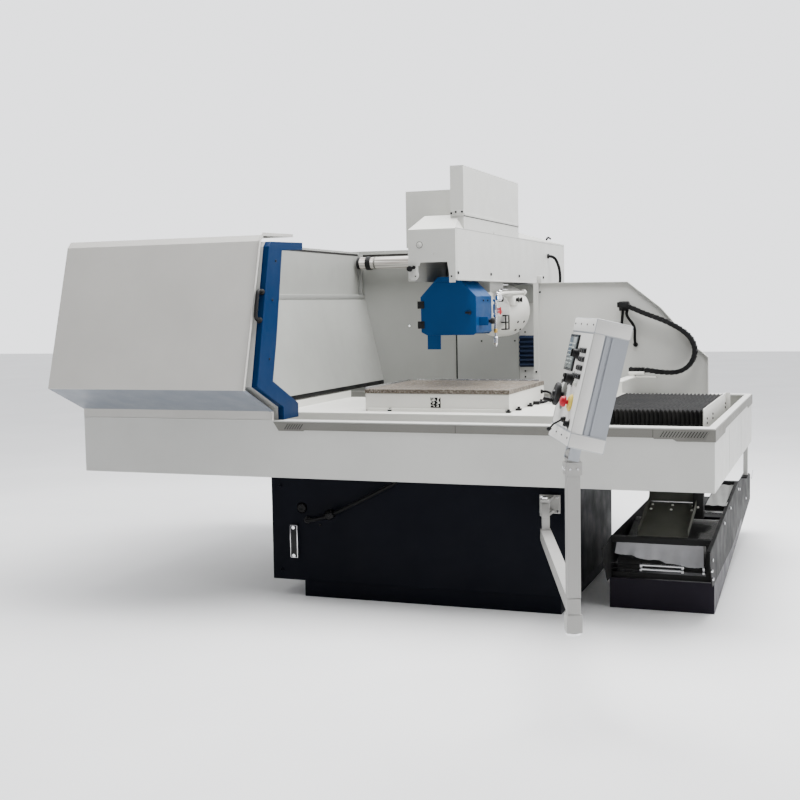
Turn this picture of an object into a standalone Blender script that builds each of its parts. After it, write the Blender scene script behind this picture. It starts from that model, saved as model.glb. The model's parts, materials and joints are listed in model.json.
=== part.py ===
"""Column-type surface grinder: one closed object per sub-part, in metres, +Z up.

X runs along the table travel, Y runs from the front to the back, and the origin is on the floor
under the middle of the table. The machine stands on its two plinths.
"""

import math

import bmesh
import bpy
from mathutils import Matrix, Vector

GAP = 0.0003

# Cross bed under the table, and the column bed behind it.
BED_HALF_LENGTH = 0.815
BED_FRONT = -1.295
BED_BACK = -0.10
BED_SIDE_BOTTOM = 0.087
BED_TOP = 0.674
REAR_BED_HALF_WIDTH = 0.46
REAR_BED_BACK = 1.56
PLINTH_LEFT = -0.63
PLINTH_RIGHT = 0.78

# Splash tray.
TRAY_LEFT = -1.855
TRAY_RIGHT = 1.55
TRAY_FRONT = -1.50
TRAY_BACK = 0.665
TRAY_BOTTOM = BED_TOP + GAP
TRAY_TOP = 0.973
TRAY_WALL = 0.006
TRAY_FRONT_LIP = 0.09
TRAY_LIP = 0.035

# Hood and guard share one bent outline in the YZ plane, given as (y, z).
HOOD_RIGHT = -0.690
HOOD_OUTLINE = (
    (-1.500, TRAY_TOP + GAP),
    (-1.500, 1.020),
    (-1.813, 1.154),
    (-1.592, 1.900),
    (-1.560, 1.932),
    (-1.207, 1.940),
)
HOOD_SHEET = 0.004
HOOD_FLANGE = 0.012
GUARD_OUTLINE = (
    (-1.448, TRAY_TOP + 2 * GAP),
    (-1.448, 1.040),
    (-1.742, 1.165),
    (-1.571, 1.872),
    (-1.545, 1.898),
    (-1.165, 1.908),
)
FRAME_INNER_OUTLINE = (
    (-1.165, 1.868),
    (-1.418, 1.857),
    (-1.508, 1.394),
    (-1.562, 1.184),
    (-1.361, 1.093),
    (-1.264, 1.048),
    (-1.264, TRAY_TOP + 2 * GAP),
)
FRAME_LEFT = -0.688
FRAME_RIGHT = -0.655

# Inner splash walls.
WALL_SHEET = 0.004
REAR_WALL_Y = 0.600
LEFT_WALL_TOP = 1.925
LEFT_WALL_LEDGE = 1.633
RIM = 0.030

# Table, chuck and way system.
TABLE_HALF_LENGTH = 0.88
TABLE_FRONT = -1.08
TABLE_BACK = 0.0
TABLE_BOTTOM = 0.918
TABLE_TOP = 0.980
CHUCK_LEFT = -0.400
CHUCK_RIGHT = 0.425
CHUCK_FRONT = -0.934
CHUCK_BACK = -0.160
CHUCK_TOP = 1.100
CHUCK_PLATE = 0.023
WAY_HALF_LENGTH = 1.32
VEE_WAY_Y = -0.86
FLAT_WAY_Y = -0.22
BELLOWS_END = 1.4497
BELLOWS_TOP = 1.022
BELLOWS_PLEATS = 24
END_FLANGE_TOP = 1.021

# Wheel head: canopy on the ram, spindle housing and wheel below it.
CANOPY_HALF_WIDTH = 0.135
CANOPY_FRONT = -0.93
CANOPY_BACK = 1.70
CANOPY_BOTTOM = 1.690
CANOPY_EAVES = 1.968
CANOPY_EAVES_BACK = 1.982
CANOPY_RIDGE = 2.055
SPINDLE_HEIGHT = 1.540
HOUSING_HEIGHT = 1.512
WHEEL_RADIUS = 0.155
WHEEL_BACK = -0.545
WHEEL_WIDTH = 0.05
COVER_FRONT = -0.66
COVER_BACK = -0.35
COVER_HINGE_X = -0.171
COVER_DOOR_TOP = 1.686
COLUMN_FRONT = 1.02
COLUMN_BACK = 1.54

# Pendant arm: the arm swings about the knuckle, the post stands on its far end.
KNUCKLE = Vector((0.728, -1.405, 0.535))
ELBOW = Vector((1.165, -2.765, 0.425))
TILT_PIVOT = Vector((1.165, -2.765, 1.000))
PENDANT_YAW = math.radians(-67.0)
PENDANT_LEAN = math.radians(-13.7)
PENDANT_WIDTH = 0.40
PENDANT_HEIGHT = 0.465
PENDANT_DEPTH = 0.132
PENDANT_FOOT = 0.038

# Band filter under the right end of the tray.
FILTER_LEFT = 0.983
FILTER_RIGHT = 1.505
FILTER_FRONT = -1.07
FILTER_RIM = 0.155
FILTER_LEDGE = 0.470
FILTER_DRUM = (-0.42, 0.275, 0.080)
FILTER_ROLLER = (-0.98, 0.215, 0.022)

PALETTE = {
    "machine_grey": ((0.60, 0.61, 0.61), 0.45, 0.0),
    "machine_white": ((0.84, 0.84, 0.82), 0.40, 0.0),
    "trim_grey": ((0.30, 0.29, 0.27), 0.50, 0.0),
    "base_navy": ((0.012, 0.016, 0.030), 0.22, 0.0),
    "guard_blue": ((0.010, 0.075, 0.235), 0.35, 0.0),
    "cast_iron": ((0.22, 0.23, 0.24), 0.55, 0.8),
    "ground_steel": ((0.62, 0.62, 0.62), 0.25, 1.0),
    "chuck_plate": ((0.36, 0.32, 0.28), 0.40, 0.7),
    "bellows_cloth": ((0.030, 0.030, 0.032), 0.75, 0.0),
    "black_plastic": ((0.015, 0.015, 0.016), 0.40, 0.0),
    "black_rubber": ((0.012, 0.012, 0.012), 0.60, 0.0),
    "abrasive": ((0.55, 0.50, 0.46), 0.90, 0.0),
    "chrome": ((0.75, 0.75, 0.76), 0.10, 1.0),
    "pendant_grey": ((0.52, 0.54, 0.58), 0.42, 0.0),
    "screen_glass": ((0.05, 0.06, 0.07), 0.12, 0.0),
    "lamp_glass": ((0.80, 0.80, 0.78), 0.20, 0.0),
    "stop_red": ((0.60, 0.03, 0.03), 0.35, 0.0),
    "stop_yellow": ((0.75, 0.55, 0.08), 0.45, 0.0),
    "filter_grey": ((0.075, 0.075, 0.072), 0.50, 0.3),
    "filter_dark": ((0.018, 0.017, 0.022), 0.35, 0.0),
    "filter_paper": ((0.28, 0.28, 0.28), 0.95, 0.0),
}


# ---------------------------------------------------------------- scene and materials


def clear_scene():
    """Remove everything that the start-up scene holds."""
    for old in list(bpy.data.objects):
        bpy.data.objects.remove(old, do_unlink=True)


def material(slot):
    """Return the Principled material of one palette slot."""
    found = bpy.data.materials.get(slot)
    if found:
        return found
    colour, roughness, metallic = PALETTE[slot]
    made = bpy.data.materials.new(slot)
    made.use_nodes = True
    shader = made.node_tree.nodes["Principled BSDF"]
    shader.inputs["Base Color"].default_value = (*colour, 1.0)
    shader.inputs["Roughness"].default_value = roughness
    shader.inputs["Metallic"].default_value = metallic
    return made


# ---------------------------------------------------------------- shape helpers


def finish(name, shape, slot, smooth=False):
    """Turn a bmesh into a named object with one material."""
    bmesh.ops.recalc_face_normals(shape, faces=shape.faces)
    mesh = bpy.data.meshes.new(name)
    shape.to_mesh(mesh)
    shape.free()
    made = bpy.data.objects.new(name, mesh)
    bpy.context.collection.objects.link(made)
    mesh.materials.append(material(slot))
    if smooth:
        mesh.shade_smooth()
        mesh.set_sharp_from_angle(angle=math.radians(35))
    return made


def bevel_sharp(shape, width):
    """Round every edge that turns by more than 30 degrees."""
    if width <= 0:
        return
    edges = [e for e in shape.edges if e.is_manifold and e.calc_face_angle(0.0) > math.radians(30)]
    bmesh.ops.bevel(
        shape, geom=edges, offset=width, segments=2, profile=0.7, affect="EDGES", clamp_overlap=True
    )


def box_shape(low, high, bevel=0.0):
    """A box between two corners."""
    shape = bmesh.new()
    size = Vector(high) - Vector(low)
    centre = (Vector(high) + Vector(low)) / 2
    matrix = Matrix.Translation(centre) @ Matrix.Diagonal((*size, 1.0))
    bmesh.ops.create_cube(shape, size=1.0, matrix=matrix)
    bevel_sharp(shape, bevel)
    return shape


def prism_shape(outline, start, end, axis="X", bevel=0.0):
    """A closed outline, pushed from start to end along an axis."""
    shape = bmesh.new()

    def place(pair, along):
        first, second = pair
        if axis == "X":
            return Vector((along, first, second))
        if axis == "Y":
            return Vector((first, along, second))
        return Vector((first, second, along))

    near = [shape.verts.new(place(pair, start)) for pair in outline]
    far = [shape.verts.new(place(pair, end)) for pair in outline]
    shape.faces.new(near)
    shape.faces.new(list(reversed(far)))
    count = len(outline)
    for i in range(count):
        j = (i + 1) % count
        shape.faces.new((near[j], near[i], far[i], far[j]))
    bmesh.ops.recalc_face_normals(shape, faces=shape.faces)
    bevel_sharp(shape, bevel)
    return shape


def turned_shape(profile, origin, axis, steps=32):
    """Turn a profile of (distance along axis, radius) pairs about an axis through origin."""
    shape = bmesh.new()
    turn = Vector((0, 0, 1)).rotation_difference(Vector(axis).normalized()).to_matrix()
    rings = []
    for along, radius in profile:
        ring = []
        for i in range(steps):
            angle = 2 * math.pi * i / steps
            local = Vector((radius * math.cos(angle), radius * math.sin(angle), along))
            ring.append(shape.verts.new(Vector(origin) + turn @ local))
        rings.append(ring)
    for first, second in zip(rings, rings[1:]):
        for i in range(steps):
            j = (i + 1) % steps
            shape.faces.new((first[i], first[j], second[j], second[i]))
    shape.faces.new(list(reversed(rings[0])))
    shape.faces.new(rings[-1])
    bmesh.ops.recalc_face_normals(shape, faces=shape.faces)
    return shape


def rod_shape(start, end, radius, steps=24, chamfer=0.0):
    """A round bar between two points, with chamfered ends."""
    start, end = Vector(start), Vector(end)
    length = (end - start).length
    if chamfer <= 0:
        profile = ((0.0, radius), (length, radius))
    else:
        profile = (
            (0.0, radius - chamfer),
            (chamfer, radius),
            (length - chamfer, radius),
            (length, radius - chamfer),
        )
    return turned_shape(profile, start, end - start, steps)


def sweep_shape(points, half_sizes, side=None, steps=12):
    """Sweep a rectangle (two half sizes) or a circle (one radius) along points."""
    shape = bmesh.new()
    points = [Vector(p) for p in points]
    rings = []
    helper = Vector(side) if side else Vector((0.0, 1.0, 0.0))
    for i, point in enumerate(points):
        before = points[max(i - 1, 0)]
        after = points[min(i + 1, len(points) - 1)]
        along = (after - before).normalized()
        if side is None:
            if i == 0 and abs(along.dot(helper)) > 0.9:
                helper = Vector((1.0, 0.0, 0.0))
            across = (helper - along * helper.dot(along)).normalized()
            helper = across
        else:
            across = helper
        up = along.cross(across).normalized()
        if len(half_sizes) == 2:
            wide, thick = half_sizes
            corners = ((-wide, -thick), (wide, -thick), (wide, thick), (-wide, thick))
        else:
            radius = half_sizes[0]
            turns = [2 * math.pi * k / steps for k in range(steps)]
            corners = [(radius * math.cos(a), radius * math.sin(a)) for a in turns]
        rings.append([shape.verts.new(point + across * a + up * b) for a, b in corners])
    count = len(rings[0])
    for first, second in zip(rings, rings[1:]):
        for i in range(count):
            j = (i + 1) % count
            shape.faces.new((first[i], first[j], second[j], second[i]))
    shape.faces.new(list(reversed(rings[0])))
    shape.faces.new(rings[-1])
    bmesh.ops.recalc_face_normals(shape, faces=shape.faces)
    return shape


def smooth_path(points, per_span=6):
    """Catmull-Rom points through the given ones."""
    points = [Vector(p) for p in points]
    padded = [2 * points[0] - points[1]] + points + [2 * points[-1] - points[-2]]
    path = []
    for i in range(1, len(padded) - 2):
        a, b, c, d = padded[i - 1 : i + 3]
        for step in range(per_span):
            t = step / per_span
            path.append(
                0.5
                * (
                    2 * b
                    + (c - a) * t
                    + (2 * a - 5 * b + 4 * c - d) * t**2
                    + (3 * b - a - 3 * c + d) * t**3
                )
            )
    path.append(points[-1])
    return path


def cord(name, points, radius, slot):
    """A round cord through points, as a tube curve with closed ends."""
    curve = bpy.data.curves.new(name, "CURVE")
    curve.dimensions = "3D"
    curve.bevel_depth = radius
    curve.bevel_resolution = 2
    curve.use_fill_caps = True
    path = smooth_path(points, per_span=4)
    spline = curve.splines.new("POLY")
    spline.points.add(len(path) - 1)
    for point, place in zip(spline.points, path):
        point.co = (*place, 1.0)
    curve.materials.append(material(slot))
    bpy.context.collection.objects.link(bpy.data.objects.new(name, curve))


def thicken(outline, thickness):
    """Close an open outline into a strip that lies on its right-hand side."""
    pairs = [Vector(p) for p in outline]
    inner = []
    for i, point in enumerate(pairs):
        before = pairs[max(i - 1, 0)]
        after = pairs[min(i + 1, len(pairs) - 1)]
        first = (point - before).normalized() if i > 0 else (after - point).normalized()
        second = (after - point).normalized() if i < len(pairs) - 1 else first
        normal = Vector((first.y + second.y, -(first.x + second.x))).normalized()
        scale = max(normal.dot(Vector((first.y, -first.x))), 0.3)
        inner.append(point + normal * thickness / scale)
    return [tuple(p) for p in pairs] + [tuple(p) for p in reversed(inner)]


def combine(name, slot, shapes, cutters=(), smooth=False):
    """Union the shapes, cut the cutters away, and keep one closed body."""
    body = finish(name, shapes[0], slot)
    for index, (operation, shape) in enumerate(
        [("UNION", s) for s in shapes[1:]] + [("DIFFERENCE", c) for c in cutters]
    ):
        tool = finish(f"{name}_tool_{index}", shape, slot)
        change = body.modifiers.new("shape", "BOOLEAN")
        change.operation = operation
        change.solver = "EXACT"
        change.object = tool
        with bpy.context.temp_override(object=body, active_object=body, selected_objects=[body]):
            bpy.ops.object.modifier_apply(modifier=change.name)
        bpy.data.objects.remove(tool, do_unlink=True)
    tidy = bmesh.new()
    tidy.from_mesh(body.data)
    bmesh.ops.remove_doubles(tidy, verts=tidy.verts, dist=0.00002)
    bmesh.ops.dissolve_degenerate(tidy, edges=tidy.edges, dist=0.00002)
    tidy.to_mesh(body.data)
    tidy.free()
    while len(body.data.materials) > 1:
        body.data.materials.pop(index=1)
    if smooth:
        body.data.shade_smooth()
        body.data.set_sharp_from_angle(angle=math.radians(35))
    return body


def block(name, low, high, slot, bevel=0.0):
    """A plain named box."""
    return finish(name, box_shape(low, high, bevel), slot)


def set_origin(made, point):
    """Move an object's origin to a point on its joint axis and leave its shape in place."""
    shift = Vector(point)
    made.data.transform(Matrix.Translation(-shift))
    made.matrix_world = Matrix.Translation(shift)


# ---------------------------------------------------------------- base and tray


def build_bed():
    """T-shaped bed on a recessed plinth."""
    shapes = [
        box_shape(
            (-BED_HALF_LENGTH, BED_FRONT, BED_SIDE_BOTTOM), (BED_HALF_LENGTH, BED_BACK, BED_TOP), 0.006
        ),
        box_shape((PLINTH_LEFT, BED_FRONT + 0.008, 0.0), (PLINTH_RIGHT, BED_BACK - 0.02, 0.12)),
        box_shape(
            (-REAR_BED_HALF_WIDTH, BED_BACK - 0.05, BED_SIDE_BOTTOM),
            (REAR_BED_HALF_WIDTH, REAR_BED_BACK, BED_TOP - 0.001),
            0.004,
        ),
        box_shape(
            (-REAR_BED_HALF_WIDTH + 0.03, BED_BACK - 0.04, 0.0),
            (REAR_BED_HALF_WIDTH - 0.03, REAR_BED_BACK - 0.02, 0.12),
        ),
    ]
    plug = rod_shape((-0.635, BED_FRONT - 0.02, 0.483), (-0.635, BED_FRONT + 0.03, 0.483), 0.031)
    combine("bed", "base_navy", shapes, [plug])


def build_base_fittings():
    """Sight gauge and oil hose on the front of the bed."""
    front = BED_FRONT - GAP
    gauge = box_shape((-0.699, front - 0.022, 0.212), (-0.655, front, 0.392), 0.006)
    window = box_shape((-0.688, front - 0.04, 0.245), (-0.666, front - 0.012, 0.360))
    combine("sight_gauge", "chrome", [gauge], [window])
    points = (
        (-0.600, front - 0.001, 0.420),
        (-0.600, front - 0.014, 0.420),
        (-0.592, front - 0.034, 0.422),
        (-0.555, front - 0.048, 0.428),
        (-0.480, -1.350, 0.450),
        (-0.400, -1.345, 0.482),
        (-0.250, -1.330, 0.555),
        (-0.140, -1.326, 0.612),
        (-0.088, -1.325, 0.640),
        (-0.080, -1.325, 0.660),
        (-0.080, -1.325, TRAY_BOTTOM - 0.001),
    )
    cord("oil_hose", points, 0.011, "black_rubber")


def build_tray():
    """Long splash tray with an inward lip all round and a leg down to the filter at the far right."""
    outer = box_shape((TRAY_LEFT, TRAY_FRONT, TRAY_BOTTOM), (TRAY_RIGHT, TRAY_BACK, TRAY_TOP), 0.002)
    hollow = box_shape(
        (TRAY_LEFT + TRAY_WALL, TRAY_FRONT + TRAY_WALL, TRAY_BOTTOM + TRAY_WALL),
        (TRAY_RIGHT - TRAY_WALL, TRAY_BACK - TRAY_WALL, TRAY_TOP - TRAY_WALL),
    )
    mouth = box_shape(
        (TRAY_LEFT + TRAY_LIP, TRAY_FRONT + TRAY_FRONT_LIP, TRAY_TOP - 0.05),
        (TRAY_RIGHT - TRAY_LIP, TRAY_BACK - 0.08, TRAY_TOP + 0.05),
    )
    leg = box_shape((1.507, 0.585, FILTER_LEDGE + GAP), (1.533, 0.625, TRAY_BOTTOM + 0.003))
    combine("splash_tray", "machine_grey", [outer, leg], [hollow, mouth])


def build_trim_band():
    """Two-tone band under the tray rim, with deeper end caps and slanted louvres."""
    front = TRAY_FRONT - GAP
    side = TRAY_RIGHT + GAP
    thick = 0.004
    band = [(-0.690, 0.967), (-0.660, 0.921), (-0.520, 0.921), (-0.514, 0.926), (1.270, 0.926)]
    band += [(1.274, 0.921), (1.360, 0.921), (1.378, 0.911), (side + thick, 0.911), (side + thick, 0.967)]
    shapes = [prism_shape(band, front - thick, front, axis="Y")]
    side_band = [(front - thick, 0.911), (-1.06, 0.911), (-1.03, 0.928), (0.33, 0.928), (0.35, 0.911)]
    side_band += [(TRAY_BACK, 0.911), (TRAY_BACK, 0.967), (front - thick, 0.967)]
    shapes.append(prism_shape(side_band, side, side + thick, axis="X"))
    louvres = []
    for i in range(7):
        x = 1.415 + 0.014 * i
        slot = [(x, 0.921), (x + 0.005, 0.921), (x + 0.029, 0.959), (x + 0.024, 0.959)]
        louvres.append(prism_shape(slot, front - 0.01, front - 0.0015, axis="Y"))
    combine("trim_band", "trim_grey", shapes, louvres)


def build_hood():
    """Bent sheet hood at the left with a pale end flange, and the tray's left end wall."""
    sheet = prism_shape(thicken(HOOD_OUTLINE, HOOD_SHEET), TRAY_LEFT, HOOD_RIGHT, axis="X")
    flange = prism_shape(thicken(HOOD_OUTLINE, -HOOD_FLANGE), HOOD_RIGHT - 0.003, HOOD_RIGHT, axis="X")
    combine("front_hood", "machine_grey", [sheet, flange])
    end = [(-1.466, TRAY_TOP + GAP), (-1.466, 1.045), (-1.758, 1.178), (-1.568, 1.860), (-1.545, 1.888)]
    end += [(-1.200, 1.890), (0.599, 1.890), (0.599, TRAY_TOP + GAP)]
    finish(
        "tray_end_wall",
        prism_shape(end, TRAY_LEFT + 0.010, TRAY_LEFT + 0.014, axis="X"),
        "machine_grey",
    )


def build_sliding_guard():
    """Guard that slides out of the hood: blue leading frame, sheet and bow handle."""
    outline = list(GUARD_OUTLINE) + list(FRAME_INNER_OUTLINE)
    frame = prism_shape(outline, FRAME_LEFT, FRAME_RIGHT, axis="X", bevel=0.004)
    finish("guard_frame", frame, "guard_blue")
    sheet = thicken(GUARD_OUTLINE, 0.003)
    finish(
        "guard_sheet",
        prism_shape(sheet, TRAY_LEFT + 0.05, FRAME_LEFT - GAP, axis="X"),
        "machine_grey",
    )
    top = Vector((-0.672, -1.6292, 1.640))
    low = Vector((-0.672, -1.6636, 1.498))
    out = Vector((0.0, -0.972, 0.235)) * 0.048
    knuckles = (top + out * 0.7, top.lerp(low, 0.18) + out, low.lerp(top, 0.18) + out, low + out * 0.7)
    grip = smooth_path((top, *knuckles, low), per_span=5)
    finish("guard_handle", sweep_shape(grip, (0.010,), steps=12), "black_plastic", smooth=True)


def build_splash_walls():
    """Inner walls that stand on the tray behind and beside the table."""
    left = [(-1.050, LEFT_WALL_TOP), (-1.050, LEFT_WALL_LEDGE), (-1.018, LEFT_WALL_LEDGE)]
    left += [(-0.885, 1.048), (-0.885, END_FLANGE_TOP + 0.0035)]
    strip = thicken(left, -WALL_SHEET)
    rim = box_shape((-1.060, -1.10, LEFT_WALL_TOP - 0.012), (-1.046, REAR_WALL_Y - GAP, LEFT_WALL_TOP))
    left_body = prism_shape(strip, -1.10, REAR_WALL_Y - GAP, axis="Y")
    combine("left_wall", "machine_grey", [left_body, rim])
    wall_foot = TRAY_TOP + GAP
    back_top = 1.93
    back = box_shape(
        (TRAY_LEFT + 0.02, REAR_WALL_Y, wall_foot), (-0.357, REAR_WALL_Y + WALL_SHEET, back_top)
    )
    top_rim = box_shape(
        (TRAY_LEFT + 0.02, REAR_WALL_Y, back_top - 0.004), (-0.357, REAR_WALL_Y + RIM, back_top + 0.002)
    )
    hole = rod_shape((-0.689, 0.55, 1.419), (-0.689, 0.65, 1.419), 0.006, steps=12)
    combine("rear_wall_left", "machine_grey", [back, top_rim], [hole])
    outline = [(0.182, wall_foot), (1.295, wall_foot), (1.295, 1.205), (1.215, 1.272)]
    outline += [(1.005, 1.515), (0.793, 1.685), (0.182, 1.690)]
    panel = prism_shape(outline, REAR_WALL_Y, REAR_WALL_Y + WALL_SHEET, axis="Y")
    edge = thicken(outline[1:], -0.004)
    lip = prism_shape(edge, REAR_WALL_Y - 0.022, REAR_WALL_Y + WALL_SHEET, axis="Y")
    post = box_shape((0.182, REAR_WALL_Y - 0.022, wall_foot), (0.214, REAR_WALL_Y + 0.002, 1.688))
    combine("rear_wall_right", "machine_grey", [panel, lip, post])


def build_work_lamp():
    """Tubular lamp in a two-clip bracket along the rear wall."""
    z, y = 1.848, 0.530
    tube = turned_shape(
        ((0.0, 0.034), (0.004, 0.040), (0.60, 0.040), (0.604, 0.034)), (-1.010, y, z), (1, 0, 0), steps=28
    )
    finish("lamp_tube", tube, "lamp_glass", smooth=True)
    shapes = [box_shape((-0.962, REAR_WALL_Y - 0.006, z - 0.020), (-0.436, REAR_WALL_Y - GAP, z + 0.020))]
    for x in (-0.962, -0.470):
        shapes.append(turned_shape(((0.0, 0.046), (0.034, 0.046)), (x, y, z), (1, 0, 0), steps=28))
        shapes.append(
            box_shape((x + 0.004, y + 0.02, z - 0.018), (x + 0.030, REAR_WALL_Y - 0.003, z + 0.018))
        )
    bore = rod_shape((-1.10, y, z), (-0.30, y, z), 0.0404, steps=28)
    combine("lamp_bracket", "black_plastic", shapes, [bore], smooth=True)


# ---------------------------------------------------------------- table


def build_ways():
    """Way bed on the tray floor, with a vee way in front and a flat way behind."""
    floor = TRAY_BOTTOM + TRAY_WALL + GAP
    vee = [(-0.055, 0.86), (0.055, 0.86), (0.055, 0.888), (0.0, 0.930), (-0.055, 0.888)]
    vee = [(VEE_WAY_Y + y, z) for y, z in vee]
    shapes = [
        box_shape((-WAY_HALF_LENGTH, -0.98, floor), (WAY_HALF_LENGTH, -0.10, 0.725), 0.004),
        box_shape((-WAY_HALF_LENGTH, -0.975, floor + 0.01), (WAY_HALF_LENGTH, -0.745, 0.870), 0.004),
        box_shape((-WAY_HALF_LENGTH, -0.335, floor + 0.01), (WAY_HALF_LENGTH, -0.105, 0.870), 0.004),
        prism_shape(vee, -WAY_HALF_LENGTH, WAY_HALF_LENGTH, axis="X"),
        box_shape(
            (-WAY_HALF_LENGTH, FLAT_WAY_Y - 0.055, 0.86),
            (WAY_HALF_LENGTH, FLAT_WAY_Y + 0.055, TABLE_BOTTOM - GAP),
        ),
    ]
    combine("way_bed", "cast_iron", shapes)


def build_table():
    """Table with a vee groove below, and the magnetic chuck with its lead on top."""
    body = box_shape(
        (-TABLE_HALF_LENGTH, TABLE_FRONT, TABLE_BOTTOM), (TABLE_HALF_LENGTH, TABLE_BACK, TABLE_TOP), 0.003
    )
    groove = [(-0.060, 0.880), (0.060, 0.880), (0.060, 0.8887), (0.0, 0.9345), (-0.060, 0.8887)]
    groove = [(VEE_WAY_Y + y, z) for y, z in groove]
    groove_cutter = prism_shape(groove, -1.0, 1.0, axis="X")
    flanges = []
    for side in (-1, 1):
        low, high = sorted((side * (TABLE_HALF_LENGTH - 0.004), side * TABLE_HALF_LENGTH))
        corner = (low, TABLE_FRONT + 0.003, TABLE_TOP - 0.01)
        flanges.append(box_shape(corner, (high, TABLE_BACK - 0.003, END_FLANGE_TOP)))
    table = combine("table", "machine_white", [body] + flanges, [groove_cutter])
    set_origin(table, (0.0, -0.54, TABLE_BOTTOM))
    plate_bottom = CHUCK_TOP - CHUCK_PLATE
    body = box_shape(
        (CHUCK_LEFT, CHUCK_FRONT, TABLE_TOP + GAP), (CHUCK_RIGHT, CHUCK_BACK, plate_bottom - GAP), 0.003
    )
    rails = [
        box_shape((CHUCK_LEFT + 0.02, y - 0.022, TABLE_TOP + GAP), (CHUCK_RIGHT - 0.02, y + 0.022, 0.996))
        for y in (CHUCK_FRONT, CHUCK_BACK)
    ]
    combine("chuck_body", "machine_white", [body] + rails)
    block(
        "chuck_plate",
        (CHUCK_LEFT - 0.002, CHUCK_FRONT - 0.002, plate_bottom),
        (CHUCK_RIGHT + 0.002, CHUCK_BACK + 0.002, CHUCK_TOP),
        "chuck_plate",
        0.0015,
    )
    points = (
        (CHUCK_RIGHT + 0.001, -0.230, 1.042),
        (CHUCK_RIGHT + 0.012, -0.230, 1.042),
        (0.462, -0.234, 1.042),
        (0.492, -0.250, 1.030),
        (0.500, -0.300, 1.005),
        (0.480, -0.360, 0.992),
        (0.452, -0.400, 0.9885),
    )
    cord("chuck_lead", points, 0.007, "black_rubber")


def build_bellows():
    """Pleated way covers between the table ends and the white end plates."""
    length = BELLOWS_END - TABLE_HALF_LENGTH - 2 * GAP
    pitch = length / BELLOWS_PLEATS
    for side, name in ((1, "right"), (-1, "left")):
        start = side * (TABLE_HALF_LENGTH + GAP)
        top = []
        for i in range(BELLOWS_PLEATS):
            at = start + side * pitch * i
            top.append((at, BELLOWS_TOP - 0.016))
            top.append((at + side * pitch / 2, BELLOWS_TOP))
        end = start + side * length
        top.append((end, BELLOWS_TOP - 0.016))
        outline = top + [(end, 0.936), (start, 0.936)]
        finish(
            f"bellows_{name}",
            prism_shape(outline, TABLE_FRONT + 0.003, TABLE_BACK - 0.003, axis="Y"),
            "bellows_cloth",
        )
        low = side * (BELLOWS_END + GAP)
        high = side * (BELLOWS_END + 0.004)
        sheet = box_shape(
            (min(low, high), TABLE_FRONT - 0.01, TRAY_BOTTOM + TRAY_WALL + GAP),
            (max(low, high), TABLE_BACK + 0.03, BELLOWS_TOP + 0.004),
        )
        returned = box_shape(
            (min(low, side * 1.478), TABLE_BACK + 0.026, TRAY_BOTTOM + TRAY_WALL + GAP),
            (max(low, side * 1.478), TABLE_BACK + 0.030, BELLOWS_TOP + 0.004),
        )
        holes = []
        for y in (-0.72, -0.16):
            for z in (0.975, 0.998):
                holes.append(rod_shape((side * 1.40, y, z), (side * 1.50, y, z), 0.006, steps=12))
        combine(f"bellows_plate_{name}", "machine_white", [sheet, returned], holes)


def build_cable_carrier():
    """Cable carrier in front of the rear wall, its table bracket and two leads at its fixed end."""
    y = 0.530
    track = smooth_path(
        (
            (0.760, y, 1.536),
            (0.815, y, 1.524),
            (0.899, y, 1.487),
            (1.036, y, 1.433),
            (1.140, y, 1.376),
            (1.198, y, 1.318),
            (1.220, y, 1.245),
            (1.192, y, 1.165),
            (1.125, y, 1.118),
            (1.036, y, 1.112),
            (0.915, y, 1.1263),
        ),
        per_span=5,
    )
    finish("cable_carrier", sweep_shape(track, (0.030, 0.016), side=(0, 1, 0)), "black_plastic")
    shelf_top = 1.088
    shelf = [(0.80, 0.002), (0.86, 0.002), (0.86, 0.495), (0.985, 0.495), (0.985, 0.565), (0.80, 0.565)]
    bracket = [
        box_shape((0.80, GAP, TABLE_BOTTOM + 0.005), (0.86, 0.006, shelf_top - 0.002)),
        prism_shape(shelf, shelf_top - 0.006, shelf_top, axis="Z"),
    ]
    combine("carrier_bracket", "machine_white", bracket)
    for name, x_top, x_low in (("carrier_lead_a", 0.772, 0.764), ("carrier_lead_b", 0.800, 0.842)):
        points = (
            (x_top, 0.535, 1.505),
            (x_top - 0.002, 0.530, 1.470),
            (x_low, 0.540, 1.400),
            (x_low, 0.560, 1.330),
            (x_low, 0.574, 1.296),
            (x_low, REAR_WALL_Y - 0.014, 1.285),
            (x_low, REAR_WALL_Y - 0.001, 1.285),
        )
        cord(name, points, 0.009, "black_rubber")


# ---------------------------------------------------------------- column, ram and wheel head


def build_column():
    """Column with two cross ways on top, its front cover plate and a pleated side cover."""
    profile = [(-0.40, 0.6743), (0.40, 0.6743), (0.35, 1.10), (0.32, 1.640), (-0.32, 1.640), (-0.35, 1.10)]
    shapes = [prism_shape(profile, COLUMN_FRONT, COLUMN_BACK, axis="Y", bevel=0.006)]
    for x in (-0.090, 0.090):
        shapes.append(
            box_shape((x - 0.020, COLUMN_FRONT + 0.01, 1.62), (x + 0.020, COLUMN_BACK - 0.08, 1.6997))
        )
    combine("column", "machine_grey", shapes)
    cover_back = COLUMN_FRONT - GAP
    cover_corner = (-0.520, cover_back - 0.012, 0.700)
    block("column_cover", cover_corner, (-0.031, cover_back, 1.600), "machine_grey", 0.002)
    bottom, top, count = 1.118, 1.336, 4
    pitch = (top - bottom) / count
    pleats = []
    for i in range(count):
        z = bottom + pitch * i
        pleats += [(cover_back - 0.004, z), (cover_back - 0.024, z + pitch / 2)]
    pleats += [(cover_back - 0.004, top), (cover_back, top), (cover_back, bottom)]
    finish("column_bellows", prism_shape(pleats, -0.028, 0.130, axis="X"), "base_navy")


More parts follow.
